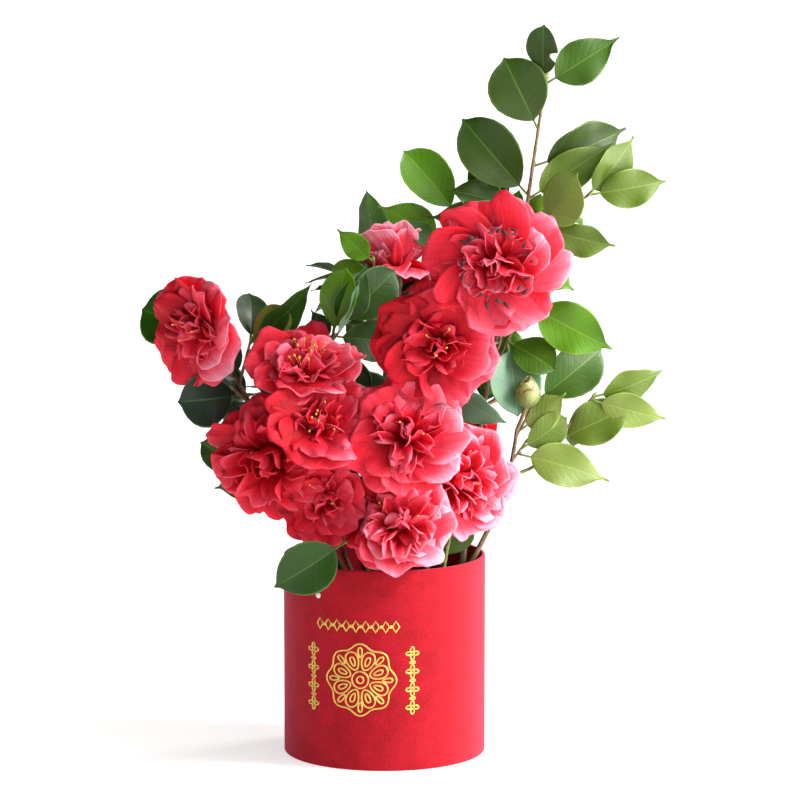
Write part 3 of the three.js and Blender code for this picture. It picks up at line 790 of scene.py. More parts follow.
BOUGHS = {
    "bough_of_bloom_1": ("main_stem", 0.6, [84, -42, 360], [4, -6, -8], 1.7, 1.3),
    "bough_of_bloom_5": ("inner_stem", 0.7, [-48, -46, 246], [2, -4, -6], 1.6, 1.3),
    "bough_of_bloom_6": ("far_left_stem", 0.42, [-78, -26, 224], [-4, -2, -4], 1.7, 1.3),
    "bough_of_bloom_8": ("centre_stem", 0.62, [16, -50, 240], [0, -6, -6], 1.7, 1.3),
    "bough_of_bloom_10": ("centre_stem", 0.2, [10, -46, 168], [0, -4, -4], 1.7, 1.3),
    "right_bough": ("right_stem", 0.72, [126, 2, 231], [4, 0, -4], 1.4, 1.1),
    "upper_bough": ("back_stem", 0.8, [40, 46, 372], [4, 2, -4], 1.6, 1.2),
    "rear_left_bough": ("back_stem", 0.4, [-48, 58, 230], [-6, 8, -6], 1.8, 1.3),
    "rear_right_bough": ("rear_stem", 0.4, [60, 78, 214], [2, 8, -8], 1.7, 1.3),
}
GREEN_LIMBS = ["front_stem", "right_bough"]
paths = {name: Path(foot, tip, bow) for name, (foot, tip, bow, _, _) in STEMS.items()}
for name, (parent, at, tip, bow, _, _) in BOUGHS.items():
    paths[name] = Path(paths[parent].point(at), tip, bow)
print("limbs:", len(paths), "with a total length of",
      round(sum(path.length() for path in paths.values())), "mm")


# %% A tree that grows tubes along lines
tree, given, result = new_tree("bark_tubes", {
    "Sides": "Int", "Relief": "Float", "Relief Scale": "Float", "Material": "Material"})
lines = node(tree, "GeometryNodeMeshToCurve", {"Mesh": given["Geometry"]})
sized = node(tree, "GeometryNodeSetCurveRadius", {
    "Curve": lines.outputs[0], "Radius": attribute(tree, "radius")})
ring = node(tree, "GeometryNodeCurvePrimitiveCircle", {"Resolution": given["Sides"], "Radius": 1.0})
tubes = node(tree, "GeometryNodeCurveToMesh", {
    "Curve": sized.outputs[0], "Profile Curve": ring.outputs[0], "Fill Caps": True})
if "Scale" in tubes.inputs:
    tree.links.new(attribute(tree, "radius"), tubes.inputs["Scale"])
spot = calc_vector(tree, "MULTIPLY", node(tree, "GeometryNodeInputPosition").outputs[0], (1.0, 1.0, 0.35))
rough = speckle(tree, spot, given["Relief Scale"], detail=3.0)
height = calc(tree, "MULTIPLY", calc(tree, "SUBTRACT", rough, 0.5), given["Relief"])
shift = calc_vector(tree, "SCALE", node(tree, "GeometryNodeInputNormal").outputs[0], scale=height)
raised = node(tree, "GeometryNodeSetPosition", {"Geometry": tubes.outputs[0], "Offset": shift})
tube_tree = end_tree(tree, raised.outputs[0], given, result, smooth=True)

# %% [markdown]
# Brown bark and young green bark are the same recipe in two palettes: a stretched noise for streaks,
# small pale dots for the breathing pores, and a bump from both.

# %% Bark materials
def bark_material(name, dark, light, pore):
    """Bark: dark and light streaks along the limb, with small pale pores."""
    dark, light, pore = paint(*dark), paint(*light), paint(*pore)
    material, tree, shader = new_material(name, light, 0.7)
    place = on_piece(tree)
    long = node(tree, "ShaderNodeMapping", {"Vector": place, "Scale": (1.0, 1.0, 0.18)}).outputs[0]
    streak = speckle(tree, long, scale=700.0, detail=4.0)
    dots = node(tree, "ShaderNodeTexVoronoi", {"Vector": place, "Scale": 380.0})
    near = calc(tree, "LESS_THAN", dots.outputs["Distance"], 0.16)
    skin = ramp(tree, streak, dark, light, low=0.35, high=0.7)
    set_colour(tree, shader, mix(tree, near, skin, pore))
    add_relief(tree, shader, streak, strength=0.6, distance=0.0004)
    return material


brown_bark = bark_material("brown_bark", (74, 54, 40), (132, 104, 78), (160, 136, 108))
green_bark = bark_material("green_bark", (98, 112, 50), (148, 158, 84), (176, 180, 116))


# %% Grow the stems and boughs
def tube_line(path, foot_radius, tip_radius, step=2.5, flare=0.0, scars=0.1, apart=27):
    """Points along a path, and the radius at each: tapered, swollen at the old leaf scars."""
    length = path.length()
    shares = np.linspace(0, 1, max(3, int(length / step)) + 1)
    radii = []
    for t in shares:
        s = t * length
        from_scar = (s + 9) % apart - apart / 2
        swell = 1 + flare * math.exp(-s / 8) + scars * math.exp(-(from_scar / 2.2) ** 2)
        radii.append((foot_radius + (tip_radius - foot_radius) * t) * swell)
    return [path.point(t) for t in shares], radii


def tube_mesh(runs, material, sides=10, relief=0.35, relief_scale=330.0):
    """The tubes of several runs of points and radii, grown by the tree."""
    lines = [line for line, _ in runs]
    radii = [radius * MM for _, values in runs for radius in values]
    return grown(line_mesh("lines", lines, radius=radii), tube_tree, {
        "Sides": sides, "Relief": relief * MM, "Relief Scale": relief_scale, "Material": material})


limb_runs = {"brown": [], "green": []}
for name, path in paths.items():
    foot_radius, tip_radius = (STEMS[name] if name in STEMS else BOUGHS[name])[-2:]
    run = tube_line(path, foot_radius, tip_radius, flare=0.4 if name in STEMS else 0.0)
    limb_runs["green" if name in GREEN_LIMBS else "brown"].append(run)
finish_piece("brown_limbs", tube_mesh(limb_runs["brown"], brown_bark, 12),
             [name for name in paths if name not in GREEN_LIMBS])
finish_piece("green_limbs", tube_mesh(limb_runs["green"], green_bark, 12), GREEN_LIMBS)

# %% [markdown]
# ## How a bloom is placed
# Each bloom has a centre, a diameter and a way that it faces. Its base lies behind the open petals.
# Where blooms crowd, the petals of one behind are pressed back by the one in front, by the rule that
# shaped the solids: a point that would come too near the front bloom's petals moves back.

# %% The thirteen blooms
BLOOM_DEPTH = 0.17
BLOOMS = {
    "bloom_1": ("bough_of_bloom_1", [81, -85, 374], 104, -3, 2),
    "bloom_2": ("centre_stem", [38, -76, 314], 98, -4, 0),
    "bloom_4": ("inner_stem", [-56, -47, 300], 92, 4, 59),
    "bloom_8": ("bough_of_bloom_8", [17, -84, 252], 88, 4, 20),
    "bloom_5": ("bough_of_bloom_5", [-47, -78, 261], 84, 4, 34),
    "bloom_6": ("bough_of_bloom_6", [-85, -60, 228], 94, -14, -4),
    "bloom_7": ("left_stem", [-45, -62, 199], 70, -8, 4),
    "bloom_10": ("bough_of_bloom_10", [10, -78, 187], 86, 0, 30),
    "bloom_3": ("far_left_stem", [-142, -10, 317], 88, -42, 0),
    "bloom_9": ("front_stem", [60, -45, 210], 88, 20, 2),
    "bloom_11": ("back_stem", [6, 48, 365], 68, -155, 60),
    "bloom_12": ("rear_left_bough", [-50, 84, 236], 84, -168, 8),
    "bloom_13": ("rear_right_bough", [58, 104, 222], 84, 160, 6),
}


class BloomFrame:
    """A bloom's own axes: right, up and the way it faces, with its base behind the petals."""

    def __init__(self, centre, diameter, azimuth, elevation):
        self.facing = facing_vector(azimuth, elevation)
        self.right = unit(np.cross([0, 0, 1], self.facing))
        self.upward = np.cross(self.facing, self.right)
        self.depth = diameter * BLOOM_DEPTH
        self.base = vec(centre) - self.facing * self.depth
        self.radius = diameter / 2
        self.front = []

    def radial(self, angle):
        a = math.radians(angle)
        return self.right * math.cos(a) + self.upward * math.sin(a)

    def place(self, grid, angle, out=0.0, up=0.0, yaw=0.0):
        """A petal's grid of (across, outward, up), in shares of the radius, put in place.

        Its foot stands out from the middle at the angle, and it leans that way turned by yaw."""
        points = (self.base + out * self.radius * self.radial(angle)
                  - grid[..., :1] * self.radius * self.radial(angle + yaw + 90)
                  + grid[..., 1:2] * self.radius * self.radial(angle + yaw)
                  + (up + grid[..., 2:]) * self.radius * self.facing)
        return self.pressed(points)

    def pressed(self, points):
        for other in self.front:
            offset = points - other.base
            height = offset @ other.facing
            out = np.linalg.norm(offset - height[..., None] * other.facing, axis=-1)
            petals = other.depth * np.minimum(1, out / (0.55 * other.radius))
            room = petals - 3 - height
            near = smooth_step(1.08 * other.radius - out, 0, 0.16 * other.radius)
            move = np.where((room < 0) & (height < other.depth + 26), room * near, 0)
            points = points + move[..., None] * other.facing
        return points


bloom_frames = {}
for name, (_, centre, diameter, azimuth, elevation) in BLOOMS.items():
    bloom = BloomFrame(centre, diameter, azimuth, elevation)
    bloom.front = [one for one in bloom_frames.values() if np.dot(one.facing, bloom.facing) > 0.2]
    bloom_frames[name] = bloom
print("blooms from", min(b.radius * 2 for b in bloom_frames.values()), "to",
      max(b.radius * 2 for b in bloom_frames.values()), "mm across")

# %% [markdown]
# ## Petal tints
# A petal runs from deep crimson at its foot to a rose at its margin. The paler margin and rim are
# partly the petal's own colour and partly a painted highlight, light shining through the thin edge,
# and the petals of a bloom in the sun, or on its sunny side, are painted paler, those in shade deeper.
# The colours are plain base colours, a palette of close steps, and each face of a petal is given one
# step by its place along the petal. What varies all over, the fine ribs and the satin gloss, comes
# from nodes.

# %% Petal materials
PETAL_KEYS = [(80, 0, 8), (116, 2, 14), (150, 6, 21), (180, 12, 30), (206, 20, 41), (228, 35, 57),
              (243, 66, 88), (251, 108, 130), (254, 160, 182)]
STEPS_A_KEY = 4
PETAL_STEPS = [tuple(float(np.interp(step / STEPS_A_KEY, range(len(PETAL_KEYS)), part))
                     for part in zip(*PETAL_KEYS))
               for step in range((len(PETAL_KEYS) - 1) * STEPS_A_KEY + 1)]


def petal_material(number, colour):
    """One tint of the petals: satin, a little translucent, finely ribbed from foot to margin."""
    material, tree, shader = new_material(
        f"petal_{number}", paint(*colour), 0.5, Specular_IOR_Level=0.16, Subsurface_Weight=0.4,
        Subsurface_Radius=(1.0, 0.3, 0.34), Subsurface_Scale=0.0025)
    ribs = node(tree, "ShaderNodeMapping", {"Vector": node(tree, "ShaderNodeTexCoord").outputs["UV"],
                                            "Scale": (18.0, 1.5, 1.0)}).outputs[0]
    vein = speckle(tree, ribs, scale=2.4, detail=4.0, roughness=0.6)
    add_relief(tree, shader, vein, strength=0.6, distance=0.0016)
    vary_gloss(tree, shader, vein, low=0.4, high=0.62)
    return material


petal_materials = [petal_material(k, colour) for k, colour in enumerate(PETAL_STEPS)]
print("petal tints:", len(petal_materials))


# %% [markdown]
# ## The shape of a petal
# A petal is a grid: v runs from its foot to its margin, u from side to side. Its middle line leaves
# the bloom steeply and bends outwards; its width grows fast and then holds; its margin is round,
# with a notch. Ruffles are waves that grow towards the margin. The same rule with other numbers
# makes the broad guard petals and the small folded ones of the heart, so all of them look related.

# %% One rule for every petal
def petal_grid(rows, cols, leave=58, end=-12, length=1.0, width=0.5, claw=0.22, roll=0.4, ruffle=0.05,
               waves=1.3, phase=0.0, notch=0.05, curl=0.0, twist=0.0, fold=0.0, flutter=0.02, bend=0.8,
               blunt=0.3, frill=5.0, crease=0.006, scallop=0.0):
    """A petal's points (across, outward, up) in shares of the bloom's radius."""
    v = np.linspace(0, 1, rows)[:, None]
    u = np.linspace(-1, 1, cols)[None, :]
    reach = (1 - blunt * np.abs(u) ** 3 - notch * np.exp(-(u / 0.2) ** 2) + 0.025 * np.sin(5 * u + phase)
             + scallop * np.sin(9 * u + 2 * phase))
    s = np.clip(v * reach, 0, 1.05)
    fine = np.linspace(0, 1.05, 64)
    angle = np.radians(leave + (end - leave) * fine ** bend
                       + curl * np.clip((fine - 0.6) / 0.4, 0, 1.2) ** 1.5)
    step = length * (fine[1] - fine[0])
    y = np.concatenate([[0], np.cumsum(np.cos(angle[:-1]) * step)])
    z = np.concatenate([[0], np.cumsum(np.sin(angle[:-1]) * step)])
    py, pz, pa = np.interp(s, fine, y), np.interp(s, fine, z), np.interp(s, fine, angle)
    half = width * (claw + (1 - claw) * (1 - (1 - np.minimum(s / 0.62, 1)) ** 2))
    x = half * np.sin(roll * u) / roll
    lift = half * (1 - np.cos(roll * u)) / roll - 0.15 * half * roll
    lift = (lift + ruffle * s ** 1.7 * np.sin(math.pi * waves * u + phase)
            + ruffle * 0.7 * s ** 1.4 * np.abs(u) ** 2 * np.sin(7.5 * v + 2.1 * phase + np.sign(u))
            + flutter * smooth_step(s, 0.62, 1.0) * np.sin(frill * math.pi * u + 3 * phase)
            + crease * np.sin(math.pi * np.minimum(s, 1)) * np.sin(11 * u + 5 * phase)
            - 0.025 * np.exp(-(u / 0.13) ** 2) * np.sin(math.pi * np.minimum(s, 1)))
    bent = math.radians(fold) / 2
    lift = lift + (np.sqrt(x ** 2 + 0.0004) - 0.02) * math.sin(bent)
    x = x * math.cos(bent)
    turn = np.radians(twist) * s
    x, lift = x * np.cos(turn) - lift * np.sin(turn), x * np.sin(turn) + lift * np.cos(turn)
    return np.stack([x, py - lift * np.sin(pa), pz + lift * np.cos(pa)], 2)


def outward_reach(leave, end, bend, curl):
    """How far out a petal of length one comes."""
    grid = petal_grid(24, 3, leave, end, bend=bend, curl=curl, ruffle=0, flutter=0, notch=0, crease=0)
    return grid[:, 1, 1].max()


def petal_tint(rows, cols, tone, phase, margin, back=0.2, foot=1.0):
    """Gives each face its step of the palette: deep at the foot, pale at the margin (partly a painted
    highlight), finely streaked.
    """
    streaks = np.random.default_rng(int(phase * 1000)).uniform(-0.14, 0.14, cols)

    def tint(j, i, side):
        v = (j + 0.5) / (rows - 1)
        u = (i + 0.5) / (cols - 1) * 2 - 1
        # the margin term paints the edges paler: partly the petal's own colour, partly a painted highlight
        level = (tone + 2.7 + 1.3 * v ** 1.2 + margin * smooth_step(v + 0.16 * np.abs(u) ** 3, 0.7, 1.06)
                 + 0.3 * np.sin(3.1 * u + phase) + 0.25 * np.sin(6 * v + 2 * phase) + streaks[i]
                 - foot * smooth_step(0.3 - v, 0, 0.3))
        # the back is the petal's own paler side; the rim faces get a painted highlight
        level = level + np.where(side == 1, back, 0) + np.where(side == 2, 0.3, 0)
        return np.clip(np.round(level * STEPS_A_KEY), 0, len(PETAL_STEPS) - 1).astype(int)
    return tint


# %% [markdown]
# ## The blooms
# A bloom has two whorls of broad guard petals, a ring of rolled petals, and a heart of small folded
# ones that turn by the golden angle, 137.5 degrees, as the florets of a sunflower do. Each bloom has
# its own look: how deep or pale it is, partly its own colour and partly painted light and shade, how
# high its heart stands, how open its guard petals lie.

# %% Looks of the blooms
# tone: steps paler (+) or deeper (-), partly the bloom's own colour and partly painted light, paler
# for a bloom in the sun and deeper for one in shade; heart: its size; high: its height; open: the
# guards' tip angle; small: petals in the heart; guards: petals in the first whorl; second: petals in
# the second whorl and their reach; large: rolled petals; margin: how much paler the petals' edges
# are, partly their own colour and partly a painted highlight; side: painted light and shade, how
# much deeper the petals on the shaded left are painted than those on the sunlit right; reach: the
# guards' reach; short: the side, in degrees, where the guards are cramped, and by how much; skirt:
# petals that hang down outside.
DEFAULT_LOOK = dict(heart=1.0, high=1.0, open=-12, small=18, guards=7, second=(5, 0.86), large=5,
                    margin=0.9, side=0.75, short=(0, 0), reach=0.955, skirt=0)
LOOKS = {
    "bloom_1": dict(tone=1.5, heart=0.84, open=-16, small=22, guards=8, second=(5, 0.8), side=1.1),
    "bloom_2": dict(tone=0.4, heart=0.8, high=0.9, small=14, large=6, margin=0.8, side=1.7),
    "bloom_4": dict(tone=1.6, heart=0.8, high=1.15, small=20, guards=6, second=(3, 0.78), margin=1.1,
        short=(-90, 0.25)),
    "bloom_8": dict(reach=1.03, tone=1.2, open=-14, large=8, margin=1.2, side=1.3),
    "bloom_5": dict(tone=0.8, heart=0.82, high=0.8, open=6, small=20, second=(6, 0.84), large=3,
        side=1.5),
    "bloom_6": dict(tone=0.8, heart=1.15, high=1.05, open=-26, guards=8, second=(6, 0.84), large=14,
        margin=0.7),
    "bloom_7": dict(tone=1.0, heart=0.95, high=0.9, open=4, guards=6, second=(4, 0.8), margin=0.6),
    "bloom_10": dict(tone=1.6, high=1.05, open=-18, guards=8, large=10, margin=1.5, side=1.2,
        short=(-90, 0.13)),
    "bloom_3": dict(tone=1.1, heart=0.84, high=1.05, open=-8, small=22, second=(4, 0.82), large=4,
        side=1.8),
    "bloom_9": dict(tone=1.5, heart=0.92, high=0.95, small=16, second=(5, 0.88), large=8, margin=2.3,
        side=1.0),
    "bloom_11": dict(tone=2.5, heart=0.8, high=1.2, open=34, small=10, second=(5, 0.8), large=3,
        margin=1.8, reach=0.92, skirt=7),
    "bloom_12": dict(tone=0.8, second=(5, 0.84), margin=0.7),
    "bloom_13": dict(tone=0.9, heart=0.95, open=-14, guards=8, second=(5, 0.84), margin=0.7,
        short=(150, 0.3)),
}
LOOKS = {name: {**DEFAULT_LOOK, **look} for name, look in LOOKS.items()}
PETAL_THICK = 0.45
GOLDEN_ANGLE = 137.5
BLOOM_SEED = 40


# %% Grow a bloom
def guard_whorl(sheaf, bloom, draw, look, count, reach, leave, end, width, start, tone, rows=20, cols=25):
    """A whorl of broad petals, each with one side over and one side under its neighbours."""
    for k in range(count):
        phase = draw.uniform(0, 6.28)
        tip = end + draw.uniform(-12, 10)
        curl = draw.uniform(-24, 8)
        out = 0.05
        angle = start + 360 * k / count + draw.uniform(-8, 8)
        side, cramped = look["short"]
        room = 1 - cramped * max(0.0, math.cos(math.radians(angle - side)))
        length = (reach * room * draw.uniform(0.94, 1.04) - out) / outward_reach(leave, tip, 0.62, curl)
        grid = petal_grid(
            rows, cols, leave, tip, length, width * draw.uniform(0.9, 1.12), roll=draw.uniform(0.1, 0.4),
            ruffle=draw.uniform(0.03, 0.055), waves=draw.uniform(1.3, 2.4), phase=phase,
            notch=draw.uniform(0.0, 0.1), curl=curl, twist=9 + draw.uniform(-7, 7),
            flutter=draw.uniform(0.012, 0.028), frill=draw.uniform(3.5, 6.5), bend=0.62,
            blunt=draw.uniform(0.2, 0.3), scallop=draw.uniform(0.008, 0.022))
        # painted light and shade: petals on the right, towards the sun, get paler steps, those on the left
        # deeper
        painted_light_tone = tone + draw.uniform(-0.3, 0.3) + look["side"] * math.cos(math.radians(angle))
        sheaf.add(bloom.place(grid, angle, out, 0.012 * (k % 2)), PETAL_THICK,
                  petal_tint(rows, cols, painted_light_tone, phase, look["margin"]))


def rolled_petals(sheaf, bloom, draw, look, tone, rows=12, cols=12):
    """The broad rolled petals round the heart."""
    count = look["large"]
    for k in range(count):
        phase = draw.uniform(0, 6.28)
        leave = draw.uniform(56, 80)
        grid = petal_grid(
            rows, cols, leave, leave - draw.uniform(30, 95),
            draw.uniform(0.48, 0.66) * look["high"] * look["heart"], draw.uniform(0.2, 0.29), claw=0.3,
            roll=draw.uniform(0.5, 1.8), ruffle=draw.uniform(0.045, 0.085), waves=draw.uniform(1.1, 2.1),
            phase=phase, notch=draw.uniform(0.0, 0.15), curl=draw.uniform(-75, 30),
            twist=draw.uniform(-35, 35), flutter=0.015, bend=1.1, blunt=0.22, frill=3)
        placed = bloom.place(grid, 360 * k / count + draw.uniform(-24, 24),
                             draw.uniform(0.1, 0.3) * look["heart"], 0.05, draw.uniform(-35, 35))
        sheaf.add(placed, PETAL_THICK,
                  petal_tint(rows, cols, tone + draw.uniform(-0.4, 0.6), phase, 0.7 * look["margin"], 0.2))


def heart(sheaf, bloom, draw, look, tone, rows=11, cols=9):
    """The small curled petals of the heart, turned by the golden angle."""
    count = look["small"]
    for k in range(count):
        share = math.sqrt((k + 0.5) / count)
        phase = draw.uniform(0, 6.28)
        middle = share < 0.5
        leave = (98 if middle else 90 - 30 * share) + draw.uniform(-8, 8)
        tip = leave - (draw.uniform(-15, 25) if middle else draw.uniform(30, 95))
        tall = (0.5 + 0.06 * (1 - share)) * look["high"] * (0.3 + 0.7 * look["heart"])
        grid = petal_grid(
            rows, cols, leave, tip, tall * draw.uniform(0.82, 1.12), draw.uniform(0.16, 0.27), claw=0.4,
            roll=draw.uniform(0.3, 1.5), ruffle=draw.uniform(0.04, 0.08), waves=draw.uniform(1.0, 2.0),
            phase=phase, notch=draw.uniform(0.0, 0.14),
            curl=draw.uniform(0, 70) if middle else draw.uniform(-70, 50), twist=draw.uniform(-60, 60),
            fold=draw.uniform(0, 22), flutter=0.02, bend=1.2, blunt=0.24, frill=3.6, scallop=0.015)
        placed = bloom.place(grid, GOLDEN_ANGLE * k + draw.uniform(-14, 14), 0.31 * share * look["heart"],
                             0.05, draw.uniform(-80, 80) * (1.1 - 0.6 * share))
        sheaf.add(placed, PETAL_THICK,
                  petal_tint(rows, cols, tone + draw.uniform(-0.4, 0.7), phase, 0.4, 0.15, 0.5))


def bloom_floor(sheaf, bloom):
    """The small domed disc that the petals stand on: a square grid drawn into a circle."""
    side = np.linspace(-1, 1, 9)
    x, y = np.meshgrid(-side, side)
    x, y = x * np.sqrt(1 - y * y / 2), y * np.sqrt(1 - x * x / 2)
    grid = np.stack([0.3 * x, 0.3 * y, 0.06 - 0.1 * (x * x + y * y)], 2)
    sheaf.add(bloom.place(grid, 90), 1.2, lambda j, i, side: np.full(len(j), 3))


def grow_bloom(sheaf, name, number):
    """All the petals of a bloom, from the outside in."""
    bloom, look = bloom_frames[name], LOOKS[name]
    draw = np.random.default_rng(BLOOM_SEED + number)
    turn = seeded(number)() * 360
    tone, reach = look["tone"], look["reach"]
    second, share = look["second"]
    guard_whorl(sheaf, bloom, draw, look, look["guards"], reach, leave=54, end=look["open"], width=0.56,
                start=turn, tone=tone)
    guard_whorl(sheaf, bloom, draw, look, second, reach * share, leave=60, end=look["open"] + 10, width=0.48,
                start=turn + 30, tone=tone + 0.1)
    guard_whorl(sheaf, bloom, draw, look, look["skirt"], reach * 0.72, leave=20, end=-62, width=0.5,
                start=turn + 15, tone=tone - 0.3)
    # the rolled petals and the heart are painted paler than the guards: painted light that lifts the shade
    # deep in the bloom
    rolled_petals(sheaf, bloom, draw, look, tone + 0.3)
    heart(sheaf, bloom, draw, look, tone + 0.55)
    bloom_floor(sheaf, bloom)


# Blooms that hang together are joined, so each joined piece stays a fair size.
BUNCHES = {
    "upper_blooms": ["bloom_1", "bloom_2", "bloom_11"],
    "left_blooms": ["bloom_4", "bloom_5", "bloom_6", "bloom_7", "bloom_3"],
    "right_blooms": ["bloom_8", "bloom_10", "bloom_9"],
    "rear_blooms": ["bloom_12", "bloom_13"],
}
for bunch, names in BUNCHES.items():
    sheaf = Sheaf()
    for name in names:
        grow_bloom(sheaf, name, list(BLOOMS).index(name) + 1)
    finish_piece(bunch, sheaf.mesh(bunch), names, petal_materials)

# %% [markdown]
# ## Stamens
# Thin filaments stand among the heart's petals, each with an anther full of pollen at its end. A
# filament is a short line, so the same tube tree grows it. The anthers are tiny grains, and a second
# tree sets one grain on each end point.

# %% A tree that sets a shape on points
tree, given, result = new_tree("grains_on_points", {"Grain": "Object", "Material": "Material"})
shape = node(tree, "GeometryNodeObjectInfo", {"Object": given["Grain"]})
towards = node(tree, "FunctionNodeAlignRotationToVector",
               {"Vector": attribute(tree, "direction", "FLOAT_VECTOR")}, axis="Z")
placed = node(tree, "GeometryNodeInstanceOnPoints", {
    "Points": given["Geometry"], "Instance": shape.outputs["Geometry"], "Rotation": towards.outputs[0],
    "Scale": attribute(tree, "size")})
grain_tree = end_tree(tree, placed.outputs[0], given, result, smooth=True)


def grain_mesh(spots, directions, sizes, line, sides, material):
    """One turned grain on each spot, its foot on the spot and its tip along the direction."""
    start = bpy.data.meshes.new("spots")
    start.from_pydata((np.array(spots) * MM).tolist(), [], [])
    carry(start, "direction", directions, "FLOAT_VECTOR")
    carry(start, "size", sizes)
    shape = linked("grain", lathe_mesh("grain", line, sides))
    mesh = grown(start, grain_tree, {"Grain": shape, "Material": material})
    discard(shape)
    return mesh


# %% Grow the stamens
def spotted_material(name, dark, light, scale, roughness=0.6):
    """A plain small part whose colour wavers between two shades."""
    dark, light = paint(*dark), paint(*light)
    material, tree, shader = new_material(name, light, roughness)
    spots = speckle(tree, on_piece(tree), scale)
    set_colour(tree, shader, ramp(tree, spots, dark, light, low=0.35, high=0.65))
    add_relief(tree, shader, spots, strength=0.4, distance=0.0003)
    return material


def shaded_material(name, colour, depth, scale, roughness=0.6):
    """A spotted material whose dark shade is the light one, deepened."""
    return spotted_material(name, [c * depth for c in colour], colour, scale, roughness)


filament_rose = spotted_material("rose_filament", (190, 40, 48), (226, 80, 88), 400.0)
filament_cream = spotted_material("filament", (226, 120, 100), (246, 206, 150), 400.0)
pollen = spotted_material("pollen", (206, 132, 20), (244, 196, 60), 1200.0)
spent_pollen = spotted_material("spent_pollen", (34, 14, 14), (74, 34, 26), 900.0)
ANTHER = [(0, 0), (0.55, 0.25), (0.75, 0.9), (0.6, 1.6), (0, 2.0)]
SPENT_ANTHER = [(0, 0), (0.3, 0.2), (0.55, 0.8), (0.4, 1.7), (0.2, 2.4), (0, 2.6)]
STAMENS = {"bloom_1": 26, "bloom_2": 4, "bloom_4": 14, "bloom_5": 8, "bloom_3": 3,
           "bloom_12": 10, "bloom_13": 8}
FEW_STAMENS = 2                      # in every other bloom
SPENT_BLOOM = "bloom_1"              # its stamens are dark and stand in a ring
STAMEN_SEED = 300

filaments, rose_filaments, fresh, spent = [], [], [], []
for number, (name, bloom) in enumerate(bloom_frames.items()):
    draw = np.random.default_rng(STAMEN_SEED + number)
    look = LOOKS[name]
    dark = name == SPENT_BLOOM
    for k in range(STAMENS.get(name, FEW_STAMENS)):
        angle = 2.399963 * k + draw.uniform(-0.3, 0.3)
        ring = (draw.uniform(0.5, 0.64) if dark else draw.uniform(0.12, 0.42)) * look["heart"]
        radial = bloom.right * math.cos(angle) + bloom.upward * math.sin(angle)
        foot = bloom.base + radial * bloom.radius * 0.1 + bloom.facing * 0.05 * bloom.radius
        tall = (0.56 - 0.3 * ring) * look["high"] * draw.uniform(0.9, 1.12)
        tip = bloom.base + radial * bloom.radius * ring + bloom.facing * tall * bloom.radius
        tip = bloom.pressed(tip[None, :])[0]
        path = Path(foot, tip, bloom.facing * 1.4 + draw.normal(0, 0.5, 3))
        (rose_filaments if dark else filaments).append(tube_line(path, 0.28, 0.2, step=5, scars=0))
        way = unit(path.tangent(1) + draw.normal(0, 0.9 if dark else 0.3, 3))
        (spent if dark else fresh).append((tip, way, draw.uniform(0.8, 1.2) * (2.2 if dark else 1.15)))
stamen_meshes = [tube_mesh(filaments, filament_cream, 5, relief=0.0),
                 tube_mesh(rose_filaments, filament_rose, 5, relief=0.0),
                 grain_mesh(*zip(*fresh), ANTHER, 8, pollen),
                 grain_mesh(*zip(*spent), SPENT_ANTHER, 8, spent_pollen)]
finish_piece("stamens", joined_mesh("stamens", stamen_meshes))

# %% [markdown]
# ## Stalks and sepals behind the blooms
# From the side and from behind, a bloom shows its short stalk and a cup of overlapping sepals. The
# sepals are petals of another size and colour, made by the same rule. The stalk follows its limb's
# own direction first and then bends to the bloom.

# %% Sepals and stalks
SEPAL_STEPS = [(96, 104, 48), (122, 128, 62), (146, 142, 84)]
SEPAL_SEED = 500
sepal_materials = [shaded_material(f"sepal_{k}", colour, 0.8, 500.0) for k, colour in enumerate(SEPAL_STEPS)]


def sepal_cup(sheaf, bloom, draw, size):
    """Two rings of five sepals each behind a bloom, the outer ring shorter and paler."""
    for whorl, reach in enumerate((0.2, 0.3)):
        for k in range(5):
            grid = petal_grid(7, 7, 24, 62, reach * size * 1.25, 0.15, claw=0.5, roll=0.8, ruffle=0.008,
                              notch=0.0, flutter=0.0, blunt=0.45, crease=0)
            angle = 72 * k + 36 * whorl + draw.uniform(-5, 5)
            sheaf.add(bloom.place(grid, angle, 0.02, -0.13 + 0.02 * whorl - 0.03), 0.6,
                      lambda j, i, side: np.clip(j // 3 + (whorl == 0), 0, 2))


sepals, stalk_runs = Sheaf(), []
for number, (name, bloom) in enumerate(bloom_frames.items()):
    sepal_cup(sepals, bloom, np.random.default_rng(SEPAL_SEED + number), 0.6 if name == "bloom_11" else 1.0)
    limb = paths[BLOOMS[name][0]]
    calyx = bloom.base - bloom.facing * 0.14 * bloom.radius
    start = limb.tip - limb.tangent(1) * 1.5
    stalk = Path(start, bloom.base - bloom.facing * 0.06 * bloom.radius)
    stalk.middle = limb.tip + limb.tangent(1) * np.linalg.norm(limb.tip - calyx) * 0.5
    stalk_runs.append(tube_line(stalk, 1.35, 1.7, scars=0.15, apart=6))
finish_piece("sepals", sepals.mesh("sepals"), (), sepal_materials)
finish_piece("flower_stalks", tube_mesh(stalk_runs, green_bark, 10))

# %% [markdown]
# ## The bud
# The one bud on the right is an egg of silky scales, each lapped over the next like roof tiles. Each
# scale is a patch of the egg's surface with a round end, lifted a little more the lower it sits.

# %% The bud
BUD = {"limb": "right_stem", "foot": vec([105, -8, 260]), "tip": vec([107, -10, 283]), "radius": 10.5}
SCALE_STEPS = [(122, 136, 70), (150, 162, 94), (176, 184, 118), (138, 112, 62)]
BROWN_TIP = 3                        # the step that the tips of the scales have
scale_materials = [shaded_material(f"bud_scale_{k}", colour, 0.88, 260.0, 0.45)
                   for k, colour in enumerate(SCALE_STEPS)]


